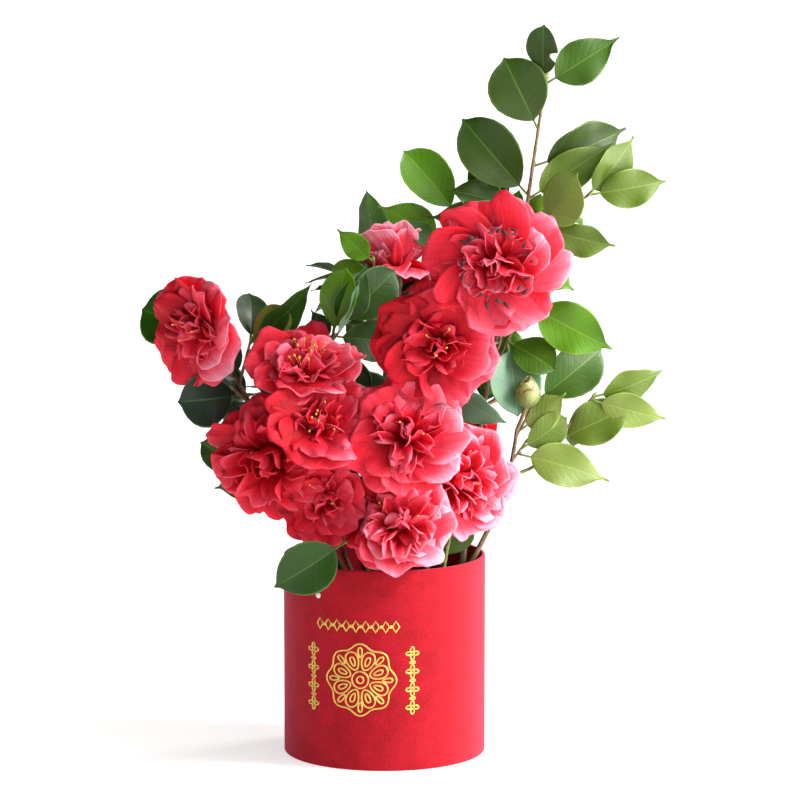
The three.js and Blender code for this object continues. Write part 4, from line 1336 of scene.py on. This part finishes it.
def bud_scale(turn, low, high, wide, lift):
    """A patch of the bud's egg from low to high, wide degrees to either side of turn."""
    axis = BUD["tip"] - BUD["foot"]
    direction = unit(axis)
    side = square_to(vec([0, -1, 0]), direction)
    across = np.cross(direction, side)
    grid = np.zeros((10, 9, 3))
    for j, v in enumerate(np.linspace(0, 1, 10)):
        for i, u in enumerate(np.linspace(-1, 1, 9)):
            t = low + (high - low) * v * (1 - 0.35 * abs(u) ** 2.5)
            angle = math.radians(turn + wide * u * math.sqrt(max(0.05, 1 - 0.5 * v ** 3)))
            swell = math.sin(math.pi * min(max(t, 0.02), 0.985) ** 0.86) ** 0.62
            radius = (BUD["radius"] - 1.6 + lift) * swell * (1 - 0.2 * t)
            grid[j, i] = (BUD["foot"] + axis * t + side * radius * math.cos(angle)
                          + across * radius * math.sin(angle))
    outwards = grid[5, 4] - BUD["foot"] - axis * 0.5
    return grid[:, ::-1] if np.dot(sheet_normals(grid)[5, 4], outwards) < 0 else grid


scales = Sheaf()
for k in range(11):
    level = k // 3
    step = min(level, 2)
    scales.add(bud_scale(GOLDEN_ANGLE * k - 40, 0.0, 0.5 + 0.17 * level, 72, 1.5 - 0.45 * level), 0.5,
               lambda j, i, side: np.where((j > 7) & (step < 2), BROWN_TIP, step))
for k in range(3):
    scales.add(bud_scale(120 * k + 20, 0.0, 1.0, 78, 0.0), 0.5,
               lambda j, i, side: np.where(j > 7, BROWN_TIP, 2))
finish_piece("bud", scales.mesh("bud"), ["bud"], scale_materials)

# %% [markdown]
# ## Leaves
# A camellia leaf is a pointed oval on a short stalk: glossy above, paler and duller below, with a
# sunken pale rib and small teeth along its edge. Drawing each leaf by hand would be slow. So a few
# flat leaf shapes are made once, and each point of a flat leaf carries numbers that say where on the
# leaf it is. A Geometry Nodes tree sets a flat leaf on each root point and then bends every leaf by
# its own length, width, fold and droop, with the very formula of the source.

# %% Flat leaf shapes
PETIOLE_SHARE = 0.14
LEAF_COLUMNS = [-1, -0.93, -0.5, -0.03, 0.03, 0.5, 0.93, 1]
PLAIN_COLUMNS = [-1, -0.06, 0.06, 1]
# rise, fall: how fast the outline widens from the stalk and narrows again; point: its drawn-out tip;
# wave, phase: the waves of its margin; bitten: how deep a bite goes into its right half.
LEAF_SHAPES = {
    "leaf_0": dict(rise=0.7, fall=0.8, point=0.05, wave=0.014, phase=0.0),
    "leaf_1": dict(rise=0.72, fall=0.98, point=0.11, wave=0.024, phase=1.7),
    "leaf_2": dict(rise=0.74, fall=0.56, point=0.035, wave=0.01, phase=3.1),
    "leaf_3": dict(rise=0.76, fall=0.88, point=0.085, wave=0.032, phase=4.6),
    "leaf_4": dict(rise=0.74, fall=0.56, point=0.035, wave=0.01, phase=3.1, bitten=0.56, blade_rows=53),
}
BITTEN = 4                           # the number of the shape with a small round bite
BITE_PLACE, BITE_HALF = 0.42, 0.085  # along the blade
ZONES = {"blade": 0, "rib": 1, "underside": 2, "stalk": 3}
RIB_GROOVE = -0.25
SHAPE_NUMBERS = ("along", "across", "edge", "lift", "wave", "bend")


def leaf_outline(v, rise, fall, point):
    """Half the blade's width at v along it, as a share of the widest."""
    widest = rise / (rise + fall)
    w = min(v / (1 - point), 1.0)
    body = w ** rise * (1 - w) ** fall / (widest ** rise * (1 - widest) ** fall)
    return max(body, min(0.16, 0.02 + 0.07 * (1 - v) / point) if v > 0.5 else 0.0)


def bite_depth(v):
    """How much of the half width a bite takes at v, from 0 to 1."""
    return math.sqrt(max(0.0, 1 - ((v - BITE_PLACE) / BITE_HALF) ** 2))


def flat_leaf(name, rise, fall, point, wave, phase, bitten=0.0, blade_rows=23, columns=LEAF_COLUMNS):
    """A flat leaf whose points carry their place along and across, and their lift."""
    rows = [("stalk", t) for t in (0.0, 0.5)]
    rows += [("blade", v) for v in 0.5 - 0.5 * np.cos(np.linspace(0, 1, blade_rows) ** 0.96 * math.pi)]
    numbers = {label: [] for label in SHAPE_NUMBERS}
    uvs = []
    for top in (1, -1):
        for j, (kind, v) in enumerate(rows):
            tooth = 1.0 + (0.008 if j % 2 else -0.006)
            for u in columns:
                along = PETIOLE_SHARE * v if kind == "stalk" else PETIOLE_SHARE + (1 - PETIOLE_SHARE) * v
                if kind == "stalk" or v == 0:
                    across, edge, ripple = 0, u * 0.8, 0
                    lift = top * max(0.15, 0.8 * math.sqrt(1 - u * u))
                else:
                    across = u * (leaf_outline(v, rise, fall, point) * (tooth if abs(u) == 1 else 1))
                    if bitten and u > 0.1:
                        across *= 1 - bitten * bite_depth(v)
                    edge = u * 0.12
                    lift = top * (0.2 + 0.35 * (1 - abs(u)) * (1 - v))
                    if top == 1 and abs(u) < 0.1:
                        lift += RIB_GROOVE
                    ripple = (wave * u * u * math.sin(2 * math.pi * 2.1 * v + phase + 1.3 * u)
                              + 0.02 * math.sin(math.pi * v) * (0.6 - abs(u)))
                for label, value in zip(SHAPE_NUMBERS, (along, across, edge * MM, lift * MM, ripple,
                                                        v if kind == "blade" else 0.0)):
                    numbers[label].append(value)
                uvs.append(((u + 1) / 2, along))
    faces, marks = sheet_faces(len(rows), len(columns))
    ribs = [i for i in range(len(columns) - 1) if abs(columns[i] - columns[i + 1]) < 0.13]
    points = np.stack([np.array(numbers["across"]) * 20, np.array(numbers["along"]) * 60,
                       np.array(numbers["lift"]) / MM], 1)
    mesh = face_mesh(name, points, faces, smooth=marks[:, 2] < 2, uvs=uvs)
    for label, values in numbers.items():
        carry(mesh, label, values)
    on_rib = (marks[:, 2] == 0) & np.isin(marks[:, 1], ribs)
    zone = np.select([marks[:, 0] < 2, marks[:, 2] == 1, on_rib],
                     [ZONES["stalk"], ZONES["underside"], ZONES["rib"]], ZONES["blade"])
    carry(mesh, "zone", zone, "INT", "FACE")
    return bpy.data.objects.new(name, mesh)


leaf_shapes = shape_collection("leaf_shapes", [
    flat_leaf(name, **shape) for name, shape in LEAF_SHAPES.items()])
plain_shapes = shape_collection("plain_leaf_shapes", [
    flat_leaf("plain_" + name, **{**shape, "blade_rows": 9, "bitten": 0.0}, columns=PLAIN_COLUMNS)
    for name, shape in LEAF_SHAPES.items()])

# %% The tree that bends the leaves
tree, given, result = new_tree("bend_leaves", {
    "Leaf Shapes": "Collection", **{zone.capitalize(): "Material" for zone in ZONES}})
placed = node(tree, "GeometryNodeInstanceOnPoints", {
    "Points": given["Geometry"], "Instance": pick_shapes(tree, given["Leaf Shapes"]), "Pick Instance": True,
    "Instance Index": attribute(tree, "kind", "INT")})
real = node(tree, "GeometryNodeRealizeInstances", {0: placed.outputs[0]})
length = attribute(tree, "leaf_length")
reach = calc(tree, "MULTIPLY", length, attribute(tree, "along"))
turn = calc(tree, "MULTIPLY", attribute(tree, "droop"), attribute(tree, "bend"))
forward = calc(tree, "MULTIPLY", reach, calc(tree, "COSINE", turn))
sink = calc(tree, "MULTIPLY", calc(tree, "MULTIPLY", reach, calc(tree, "SINE", turn)), 0.8)
half_width = calc(tree, "MULTIPLY", attribute(tree, "leaf_width"), 0.5)
half = calc(tree, "MULTIPLY", attribute(tree, "across"), half_width)
aside = calc(tree, "ADD", half, attribute(tree, "edge"))
folded = calc(tree, "MULTIPLY", calc(tree, "ABSOLUTE", half), calc(tree, "SINE", attribute(tree, "fold")))
waved = calc(tree, "MULTIPLY", attribute(tree, "wave"), length)
raised = calc(tree, "ADD", calc(tree, "ADD", folded, waved), attribute(tree, "lift"))
rise = calc(tree, "SUBTRACT", raised, sink)
root, *ways = [attribute(tree, label, "FLOAT_VECTOR") for label in ("root", "direction", "aside", "face")]
onward, sideward, upward = [calc_vector(tree, "SCALE", way, scale=amount)
                            for way, amount in zip(ways, (forward, aside, rise))]
place = calc_vector(tree, "ADD", calc_vector(tree, "ADD", root, onward),
                    calc_vector(tree, "ADD", sideward, upward))
shown = node(tree, "GeometryNodeSetPosition", {"Geometry": real.outputs[0], "Position": place}).outputs[0]
for label, number in ZONES.items():
    here = node(tree, "FunctionNodeCompare", {2: attribute(tree, "zone", "INT"), 3: number},
                data_type="INT", operation="EQUAL")
    shown = node(tree, "GeometryNodeSetMaterial", {
        "Geometry": shown, "Selection": here.outputs[0], "Material": given[label.capitalize()]}).outputs[0]
tree.links.new(shown, result[0])
leaf_tree = tree

# %% [markdown]
# ## Leaf colours
# The leaves of one spray share a tone. Part of a tone is the leaves' own age, and part is painted
# light and shade: the dark tone is painted shade on the left, the bluish tone painted shade with a
# painted sky reflection in it, the bright tone painted light at the top, the sunlit and pale tones
# painted sunlight coming through on the right, and the slate tone a painted reflection of the pale
# sky. A tone is four plain base colours, for the blade, the rib, the underside and the stalk.

# %% Leaf materials
TONES = {                            # blade, underside
    # dark and bluish: painted shade; bright, sunlit and pale: painted light; slate: painted reflection
    "olive": ((46, 70, 9), (92, 116, 52)),
    "fresh": ((54, 88, 8), (100, 130, 50)),
    "bright": ((80, 126, 6), (120, 160, 44)),
    "sunlit": ((86, 108, 28), (124, 146, 58)),
    "lime": ((106, 132, 26), (122, 142, 46)),
    "mid": ((36, 72, 8), (80, 108, 48)),
    "dark": ((28, 50, 14), (66, 88, 50)),
    "bluish": ((26, 46, 32), (62, 84, 62)),
    # painted reflection: the pale sky's sheen on a glossy leaf, painted into its colour
    "slate": ((98, 138, 108), (116, 142, 112)),
    "pale": ((112, 130, 54), (146, 166, 84)),
}
PALE_RIB, RIB_SHARE = (190, 200, 120), 0.24
PALE_STALK = (128, 140, 70)


def leaf_skin(name, colour, gloss, coat, veins):
    """A leaf's skin: a plain colour, with side veins and a fine grain as relief."""
    material, tree, shader = new_material(name, paint(*colour), gloss, Coat_Weight=coat, Coat_Roughness=0.2,
                                          Specular_IOR_Level=0.3, Subsurface_Weight=0.12,
                                          Subsurface_Radius=(0.4, 1.0, 0.2), Subsurface_Scale=0.002)
    spot = node(tree, "ShaderNodeTexCoord")
    u_v = node(tree, "ShaderNodeSeparateXYZ", {0: spot.outputs["UV"]}).outputs
    aside = calc(tree, "ABSOLUTE", calc(tree, "SUBTRACT", u_v["X"], 0.5))
    phase = calc(tree, "SUBTRACT", calc(tree, "MULTIPLY", u_v["Y"], 11.0), calc(tree, "MULTIPLY", aside, 5.0))
    crest = calc(tree, "ABSOLUTE", calc(tree, "COSINE", calc(tree, "MULTIPLY", phase, math.pi)))
    side_veins = calc(tree, "MULTIPLY", calc(tree, "POWER", crest, 14.0), veins)
    grain = calc(tree, "MULTIPLY", speckle(tree, spot.outputs["Object"], scale=420.0, detail=3.0), 0.5)
    soft = speckle(tree, spot.outputs["Object"], scale=90.0)
    height = calc(tree, "ADD", calc(tree, "ADD", side_veins, grain), calc(tree, "MULTIPLY", soft, 1.2))
    add_relief(tree, shader, height, strength=0.4, distance=0.0006)
    vary_gloss(tree, shader, soft, low=gloss - 0.07, high=gloss + 0.1)
    return material


leaf_sets = {}
for tone, (blade, under) in TONES.items():
    rib = tuple(c * (1 - RIB_SHARE) + r * RIB_SHARE for c, r in zip(blade, PALE_RIB))
    stalk = tuple(c * 0.5 + s * 0.5 for c, s in zip(blade, PALE_STALK))
    leaf_sets[tone] = {
        "Blade": leaf_skin(f"{tone}_leaf", blade, 0.42, 0.07, -0.3),
        "Rib": leaf_skin(f"{tone}_rib", rib, 0.4, 0.1, 0.0),
        "Underside": leaf_skin(f"{tone}_underside", under, 0.55, 0.0, 0.6),
        "Stalk": leaf_skin(f"{tone}_leaf_stalk", stalk, 0.45, 0.05, 0.0)}
print("leaf tones:", len(leaf_sets))

# %% [markdown]
# ## Sprays of leaves
# A spray is a twig with leaves on it. The front sprays are listed leaf by leaf, because each of them
# is seen. A spray is: its limb, where on the limb it leaves, its tip, its radius, its tone and its
# leaves. A leaf is: where along the twig, heading, lean towards the front, length, roll about its
# rib, and width by length. After these, a leaf may name a tone and a shape of its own.

# %% The front sprays
SPRAYS = {
    "top_spray": ("main_stem", 1, [119, 20, 499], 1.4, "olive", [
        (0.06, 131, 10, 76, 0, 0.56), (0.03, 34, 4, 78, -6, 0.38, "sunlit"),
        (0.3, 17, -17, 85, 14, 0.48), (0.6, 116, 15, 60, 0, 0.74),
        (0.97, 32, 5, 66, 0, 0.5, "fresh"), (1, 98, 30, 46, -34, 0.57, "olive", BITTEN)]),
    "top_right_spray": ("main_stem", 0.88, [151, 14, 415], 1.2, "sunlit", [
        (0.34, 56, 27, 63, 150, 0.6, "pale"), (0.15, 28, 0, 50, 70, 0.4), (0.4, -18, 5, 55, 20, 0.5),
        (0.95, 45, -5, 61, 20, 0.46), (1, 9, 0, 61, 0, 0.48), (0.02, -38, 0, 58, 0, 0.5, "bright")]),
    "upper_left_spray": ("main_stem", 0.97, [86, 32, 412], 1.1, "olive", [
        (0.6, 130, -20, 58, -10, 0.54), (0.4, 161, 15, 53, 30, 0.5), (0.3, 190, 12, 70, -24, 0.42)]),
    "upper_back_spray": ("upper_bough", 1, [56, 46, 398], 1.1, "bright", [
        (0.95, 128, 0, 64, 20, 0.56), (0.35, 156, 5, 56, 0, 0.5), (0.1, 145, 20, 36, 30, 0.5, "mid")]),
    "left_back_spray": ("back_stem", 0.72, [-8, 32, 363], 1.1, "bright", [
        (1, 138, 10, 38, 0, 0.5), (0.85, 168, 5, 34, 0, 0.6), (0.5, 170, -30, 50, 0, 0.5, "fresh")]),
    "middle_spray": ("inner_stem", 0.93, [-36, -8, 322], 1.2, "mid", [
        (0.85, 82, 12, 52, -24, 0.56, "bright"), (0.95, 58, 14, 54, 18, 0.5), (1, 38, 0, 62, 10, 0.56),
        (0.4, -30, -12, 62, 0, 0.6, "dark"), (0.6, -92, -6, 48, 0, 0.56, "bluish"),
        (0.85, -8, -14, 56, 0, 0.58), (0.8, 125, 0, 28, 0, 0.5, "dark"),
        (0.75, 58, 14, 54, 75, 0.4, "slate"), (0.75, -62, 0, 52, 0, 0.6, "bluish")]),
    "left_spray": ("far_left_stem", 0.8, [-99, 4, 308], 1.2, "dark", [
        (0.95, 86, -20, 42, 20, 0.6), (1, 36, 15, 64, 45, 0.5, "mid"), (0.9, 44, 0, 42, 180, 0.6, "lime"),
        (0.7, 40, -20, 52, 0, 0.5), (0.2, 121, 10, 36, 20, 0.6)]),
    "left_low_spray": ("far_left_stem", 0.7, [-112, 0, 272], 1.2, "bluish", [
        (0.6, 185, 20, 47, 0, 0.86), (0.7, 124, 10, 31, 50, 0.4), (0.1, 130, 0, 38, 20, 0.6),
        (0.1, 235, -10, 36, 0, 0.55)]),
    "far_left_spray": ("far_left_stem", 0.97, [-136, 18, 312], 1.1, "mid", [
        (1, 159, -10, 54, 10, 0.8), (0.6, 95, -30, 50, 0, 0.5)]),
    "right_upper_spray": ("main_stem", 0.54, [105, 6, 335], 1.2, "bright", [
        (1, -28, 10, 73, 0, 0.52), (0.5, -79, 30, 58, -15, 0.68, "slate"),
        (0.5, -24, 30, 44, -30, 0.7, "fresh"), (0.1, -47, 5, 40, 0, 0.5)]),
    "bud_spray": ("right_stem", 0.95, [112, 6, 262], 1, "fresh", [
        (1, 37, 0, 66, 0, 0.56), (0.2, 36, -5, 46, 160, 0.55, "pale")]),
    "right_spray": ("right_bough", 1, [154, 0, 266], 1, "sunlit", [
        (0.05, 27, 10, 67, -10, 0.5), (1, 14, -5, 60, 20, 0.46), (0.95, -16, 5, 62, 0, 0.42, "pale"),
        (0.6, -95, -10, 30, 0, 0.5)]),
    "right_low_spray": ("right_stem", 0.8, [104, -4, 232], 1, "pale", [
        (0.45, -12, 10, 74, -20, 0.44), (0.7, 32, 0, 42, 10, 0.6, "sunlit")]),
    "centre_spray": ("centre_stem", 0.86, [52, -16, 276], 1, "mid", [
        (0.8, -36, 15, 52, 30, 0.5, "slate"), (0.9, -100, -15, 46, 0, 0.5, "dark")]),
    "low_left_spray": ("left_stem", 0.78, [-28, -77, 171], 1.1, "mid", [
        (1, -146, 10, 65, 0, 0.6), (0.05, 64, -16, 50, 0, 0.62, "dark")]),
    "low_centre_spray": ("centre_stem", 0.1, [40, -20, 147], 1, "mid", [
        (1, 58, 0, 40, 180, 0.7), (0.4, -165, 20, 40, 0, 0.5)]),
    "low_far_left_spray": ("far_left_stem", 0.34, [-100, -6, 212], 1, "olive", [
        (1, 150, 5, 42, 0, 0.6), (0.6, 195, -10, 46, 0, 0.5)]),
}
SPRAY_SEED = 100
ROUND_FROM, VERY_ROUND = 0.56, 0.66
twig_runs, front_leaves, rear_leaves, leaf_buds = [], [], [], []


def leaf_entry(base, direction, face, length, width, fold, droop, tone, kind):
    """What one leaf's root point carries, in metres and radians."""
    return dict(root=base * MM, direction=direction, face=face, aside=np.cross(direction, face),
                leaf_length=length * MM, leaf_width=width * MM, fold=math.radians(fold),
                droop=math.radians(droop), tone=tone, kind=kind)


def shape_for(share, length):
    """The number of the flat leaf that suits a leaf's width by length: round, plain, pointed or wavy."""
    odd = int(length) % 2
    if share >= ROUND_FROM:
        return 2 if share > VERY_ROUND or not odd else 0
    return 3 if odd else 1


for number, (name, (parent, at, tip, radius, spray_tone, leaves)) in enumerate(SPRAYS.items()):
    random = seeded(SPRAY_SEED + number)
    twig = Path(paths[parent].point(at), tip)
    twig_runs.append(tube_line(twig, radius, radius * 0.75, scars=0.18, apart=14))
    for place, heading, lean, length, roll, share, *own in leaves:
        direction = heading_vector(heading, lean)
        face = turned(square_to(vec([0, -1, 0]), direction), direction, roll)
        fold = 8 + 14 * random()
        droop = 8 + 14 * random()
        tone = own[0] if own else spray_tone
        kind = own[1] if own[1:] else shape_for(share, length)
        foot, width = twig.point(place), share * length
        front_leaves.append(leaf_entry(foot, direction, face, length, width, fold, droop, tone, kind))
        leaf_buds.append((foot, unit(direction + twig.tangent(place)), 0.8))
    end_bud = 2.0 if name == "top_spray" else 1.1
    leaf_buds.append((twig.point(1) - twig.tangent(1) * 0.5, twig.tangent(1), end_bud))
print("front leaves:", len(front_leaves))

# %% [markdown]
# The sprays at the back are not listed: their leaves turn round the twig by the golden angle and
# stay inside a room, so that none shows where the front view should be open sky. From each of their
# twigs a few finer side twigs grow on, with smaller leaves, kept within the reach of the solids.

# %% The rear sprays and their finer twigs
RULED_SPRAYS = {
    "rear_top_spray": ("main_stem", 0.8, [100, 62, 392], 8, 3, "fresh"),
    "rear_upper_spray": ("back_stem", 0.9, [-14, 82, 352], 9, 11, "mid"),
    "rear_left_spray": ("rear_left_bough", 0.45, [-82, 66, 262], 8, 5, "dark"),
    "rear_middle_spray": ("rear_stem", 0.9, [26, 96, 292], 9, 8, "olive"),
    "rear_right_spray": ("rear_stem", 0.66, [104, 66, 270], 8, 13, "fresh"),
    "rear_low_spray": ("back_stem", 0.16, [-4, 78, 180], 7, 21, "mid"),
    "rear_far_left_spray": ("far_left_stem", 0.6, [-112, 52, 250], 8, 55, "dark"),
}
RULED_LEAF = {"length": 62, "width": 0.52, "first": 0.22, "spread": 62, "closing": 20}
REAR_ROOM = {"low": 130, "left": -67, "right": 67, "flare": 0.5, "shoulder": 300, "slope": 1.3}


def inside_rear(point):
    """True where a rear leaf may be: low down between two sides that flare, cut off at the upper left."""
    x, _, z = point
    height = z - REAR_ROOM["low"]
    over = max(0, z - REAR_ROOM["shoulder"]) * (REAR_ROOM["slope"] + REAR_ROOM["flare"])
    return (height > 0 and REAR_ROOM["left"] - REAR_ROOM["flare"] * height + over < x
            < REAR_ROOM["right"] + REAR_ROOM["flare"] * height)


def has_room(point, name, extra):
    """True when a point is in the rear's room and in a solid's box, or past it by less than extra."""
    low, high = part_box(name)
    return inside_rear(point) and all(
        low[k] / MM - extra < point[k] < high[k] / MM + extra for k in range(3))


def leaf_end(leaf, part=1.0):
    foot, direction, _, length, *_ = leaf
    return foot + direction * length * part


def ruled_leaf(twig, i, share, random, size=1.0):
    """The leaf that the rule sets at a share of the twig, turned by the golden angle."""
    place = RULED_LEAF["first"] + (1 - RULED_LEAF["first"]) * share
    tangent = twig.tangent(place)
    spread = math.radians(RULED_LEAF["spread"] - RULED_LEAF["closing"] * share)
    aside = sideways(tangent, GOLDEN_ANGLE * i + 40 * random())
    direction = tangent * math.cos(spread) + aside * math.sin(spread)
    face = square_to(unit(vec([direction[0], direction[1], 0.9])), direction)
    length = RULED_LEAF["length"] * (0.85 + 0.25 * random()) * size
    fold = 8 + 16 * random()
    droop = 10 + 25 * random()
    return twig.point(place), direction, face, length, length * RULED_LEAF["width"], fold, droop


for number, (name, (parent, at, tip, count, seed, tone)) in enumerate(RULED_SPRAYS.items()):
    random = seeded(seed)
    twig = Path(paths[parent].point(at), tip, [0, 0, -4])
    twig_runs.append(tube_line(twig, 1.3, 0.9, scars=0.18, apart=14))
    for i in range(count):
        leaf = ruled_leaf(twig, i, i / (count - 1), random)
        if has_room(leaf_end(leaf), name, 4):
            rear_leaves.append(leaf_entry(*leaf, tone, i % 4))
            leaf_buds.append((leaf[0], unit(leaf[1] + twig.tangent(0.5)), 0.8))
    for k in range(4):
        start = 0.3 + 0.2 * k
        tangent = twig.tangent(start)
        aside = sideways(tangent, 90 + GOLDEN_ANGLE * k + 60 * random())
        side_tip = twig.point(start) + (tangent * 0.7 + aside) * (20 + 8 * random())
        if not has_room(side_tip, name, 0):
            continue
        side_twig = Path(twig.point(start), side_tip, [0, 0, -1])
        twig_runs.append(tube_line(side_twig, 0.8, 0.55, scars=0.2, apart=9))
        for i in range(4):
            leaf = ruled_leaf(side_twig, i, i / 3, random, 0.6)
            if has_room(leaf_end(leaf), name, 2):
                rear_leaves.append(leaf_entry(*leaf, "bright" if i == 3 else tone, (i + k) % 4))
print("rear leaves:", len(rear_leaves), "twigs:", len(twig_runs))

# %% [markdown]
# Seen from the side, the stems between the front blooms and the back would be bare. Fine twigs grow
# on from them, by the same rule. Each twig and leaf must stay behind an open bloom as the front view
# sees it, so the sky between the sprays stays open, and must keep clear of every bloom.

# %% Fine twigs inside the crown
def behind_a_bloom(point, margin=0.7):
    """True when a bloom hides the point from the front."""
    look_down = math.radians(LOOK_DOWN)
    for bloom in bloom_frames.values():
        offset = point - bloom.base
        up = offset[2] * math.cos(look_down) + offset[1] * math.sin(look_down)
        if bloom.facing[1] < 0 and offset[1] > 0 and math.hypot(offset[0], up) < margin * bloom.radius:
            return True
    return False


def clear_of_blooms(point):
    """True when the point is not inside the bowl of any bloom."""
    for bloom in bloom_frames.values():
        offset = point - bloom.base
        height = offset @ bloom.facing
        out = np.linalg.norm(offset - height * bloom.facing)
        if -8 < height < 0.7 * bloom.radius and out < 1.1 * bloom.radius:
            return False
    return True


INNER_SEED = 400
INNER_TONES = ("mid", "dark", "olive", "fresh")
inner_leaves = []
for number, limb in enumerate(paths.values()):
    random = seeded(INNER_SEED + number)
    for k in range(9):
        share = 0.24 + 0.085 * k
        start, tangent = limb.point(share), limb.tangent(share)
        aside = sideways(tangent, GOLDEN_ANGLE * (k + 2 * number) + 50 * random())
        tip = start + (tangent * 0.5 + aside) * (22 + 16 * random())
        if tip[2] < POT["height"] + 12 or not (behind_a_bloom(tip) and clear_of_blooms(tip)):
            continue
        twig = Path(start, tip, [0, 0, -2])
        kept = []
        for i in range(5):
            leaf = ruled_leaf(twig, i, i / 4, random, 0.52 + 0.16 * random())
            ends = [leaf_end(leaf, part) for part in (0.5, 1.0)]
            hidden = all(behind_a_bloom(end, 0.85) and clear_of_blooms(end) for end in ends)
            if hidden and ends[1][2] > POT["height"] + 6:
                kept.append(leaf_entry(*leaf, INNER_TONES[(number + k) % 4], (i + k) % 4))
        if kept:
            inner_leaves += kept
            twig_runs.append(tube_line(twig, 0.85, 0.6, step=3, scars=0.2, apart=9))
print("inner leaves:", len(inner_leaves))

# %% Grow the leaves
LEAF_VECTORS = ("root", "direction", "face", "aside")
LEAF_SIZES = ("leaf_length", "leaf_width", "fold", "droop")


def leaf_mesh(entries, shapes):
    """All leaves of a list as one mesh: one run of the tree for each tone."""
    meshes = []
    for tone, skins in leaf_sets.items():
        chosen = [entry for entry in entries if entry["tone"] == tone]
        if not chosen:
            continue
        start = bpy.data.meshes.new("roots")
        start.from_pydata([entry["root"].tolist() for entry in chosen], [], [])
        for label in LEAF_VECTORS:
            carry(start, label, [entry[label] for entry in chosen], "FLOAT_VECTOR")
        for label in LEAF_SIZES:
            carry(start, label, [entry[label] for entry in chosen])
        carry(start, "kind", [entry["kind"] for entry in chosen], "INT")
        meshes.append(grown(start, leaf_tree, {"Leaf Shapes": shapes, **skins}))
    mesh = joined_mesh("leaves", meshes)
    for label in (*SHAPE_NUMBERS, *LEAF_VECTORS, *LEAF_SIZES, "zone", "kind"):
        if label in mesh.attributes:
            mesh.attributes.remove(mesh.attributes[label])
    return mesh


finish_piece("front_leaves", leaf_mesh(front_leaves, leaf_shapes), list(SPRAYS))
finish_piece("rear_leaves", leaf_mesh(rear_leaves, plain_shapes), list(RULED_SPRAYS))
finish_piece("inner_leaves", leaf_mesh(inner_leaves, plain_shapes))
clear_collection(leaf_shapes)
clear_collection(plain_shapes)

# %% [markdown]
# ## Twigs and leaf buds
# The twigs of the sprays are grown by the tube tree, thinner than the boughs and with closer leaf
# scars. A small pointed bud sits above each leaf stalk and a larger one ends each twig.

# %% Twigs and their buds
bud_stalk = Path(paths[BUD["limb"]].tip, BUD["foot"] * 0.88 + BUD["tip"] * 0.12, [1, 0, 1])
twig_runs.append(tube_line(bud_stalk, 1.25, 1.7, scars=0.1, apart=8))
twig_bark = bark_material("twig_bark", (96, 74, 50), (150, 122, 88), (176, 152, 120))
finish_piece("twigs", tube_mesh(twig_runs, twig_bark, 8, relief=0.2))
LEAF_BUD = [(0, 0), (0.8, 0.5), (1.05, 1.8), (0.8, 3.4), (0.35, 4.8), (0, 5.6)]
bud_green = spotted_material("leaf_bud", (108, 124, 58), (150, 160, 84), 500.0)
finish_piece("leaf_buds", grain_mesh(*zip(*leaf_buds), LEAF_BUD, 8, bud_green))

# %% [markdown]
# ## Floor and light
# A wide pale floor, a white surround and a soft sun from the upper right and a little behind: the
# plant stands in bright daylight, its right side lit and partly shone through, its left side in soft
# shade. The sun is large, so its shadows have soft edges. One narrow beam falls between the leaves on
# the bloom at the back. The floor is staging, not part of the plant.

# %% The studio
FLOOR = {"radius": 40, "corners": 64}   # in metres
floor_mesh = bpy.data.meshes.new("floor")
floor_mesh.from_pydata(ring_points(FLOOR["radius"], 0, FLOOR["corners"]), [],
                       [tuple(range(FLOOR["corners"]))])
floor = linked("floor", floor_mesh)
pale_floor, _, _ = new_material("pale_floor", (0.6, 0.6, 0.6, 1), 0.9, Specular_IOR_Level=0.0,
                                Emission_Color=(1, 1, 1, 1), Emission_Strength=0.66)
floor_mesh.materials.append(pale_floor)

world = bpy.data.worlds.new("bright_room")
scene.world = world
world.use_nodes = True
sky = world.node_tree.nodes["Background"]
sky.inputs["Color"].default_value = (1, 0.995, 0.985, 1)
way = node(world.node_tree, "ShaderNodeTexCoord").outputs["Generated"]
rightward = node(world.node_tree, "ShaderNodeSeparateXYZ", {0: way}).outputs["X"]
window_side = node(world.node_tree, "ShaderNodeMapRange", {
    "Value": rightward, "From Min": -0.6, "From Max": 1.0, "To Min": 0.0, "To Max": 0.8})
world.node_tree.links.new(window_side.outputs[0], sky.inputs["Strength"])


def lamp(name, kind, at, towards, **settings):
    """A light that stands at a place and shines towards another."""
    light = bpy.data.lights.new(name, kind)
    for label, value in settings.items():
        setattr(light, label, value)
    holder = linked(name, light)
    holder.location = at
    holder.rotation_euler = (Vector(at) - Vector(towards)).to_track_quat("Z", "Y").to_euler()


def sun(name, azimuth, elevation, strength, spread, colour=(1, 1, 1)):
    """A sun from a direction: degrees round from the front (right is +), degrees up."""
    lamp(name, "SUN", facing_vector(azimuth, elevation), (0, 0, 0), energy=strength,
         angle=math.radians(spread), color=colour)


sun("window_sun", 78, 42, 2.5, 14, (1.0, 0.98, 0.96))
sun("sun_behind", 122, 24, 2.0, 20, (1.0, 0.97, 0.94))
sun("front_fill", 46, 22, 0.95, 50)
lamp("window", "AREA", (0.72, -0.2, 0.42), (0.05, 0.0, 0.26), energy=8.0, size=0.5, color=(1.0, 0.97, 0.94))
lamp("beam", "SPOT", (-0.05, -0.1, 0.75), (0.004, 0.04, 0.375), energy=4.5, shadow_soft_size=0.02,
     spot_size=math.radians(16), spot_blend=0.7)
scene.view_settings.view_transform = "Standard"
scene.view_settings.look = "None"
scene.view_settings.exposure = 0.0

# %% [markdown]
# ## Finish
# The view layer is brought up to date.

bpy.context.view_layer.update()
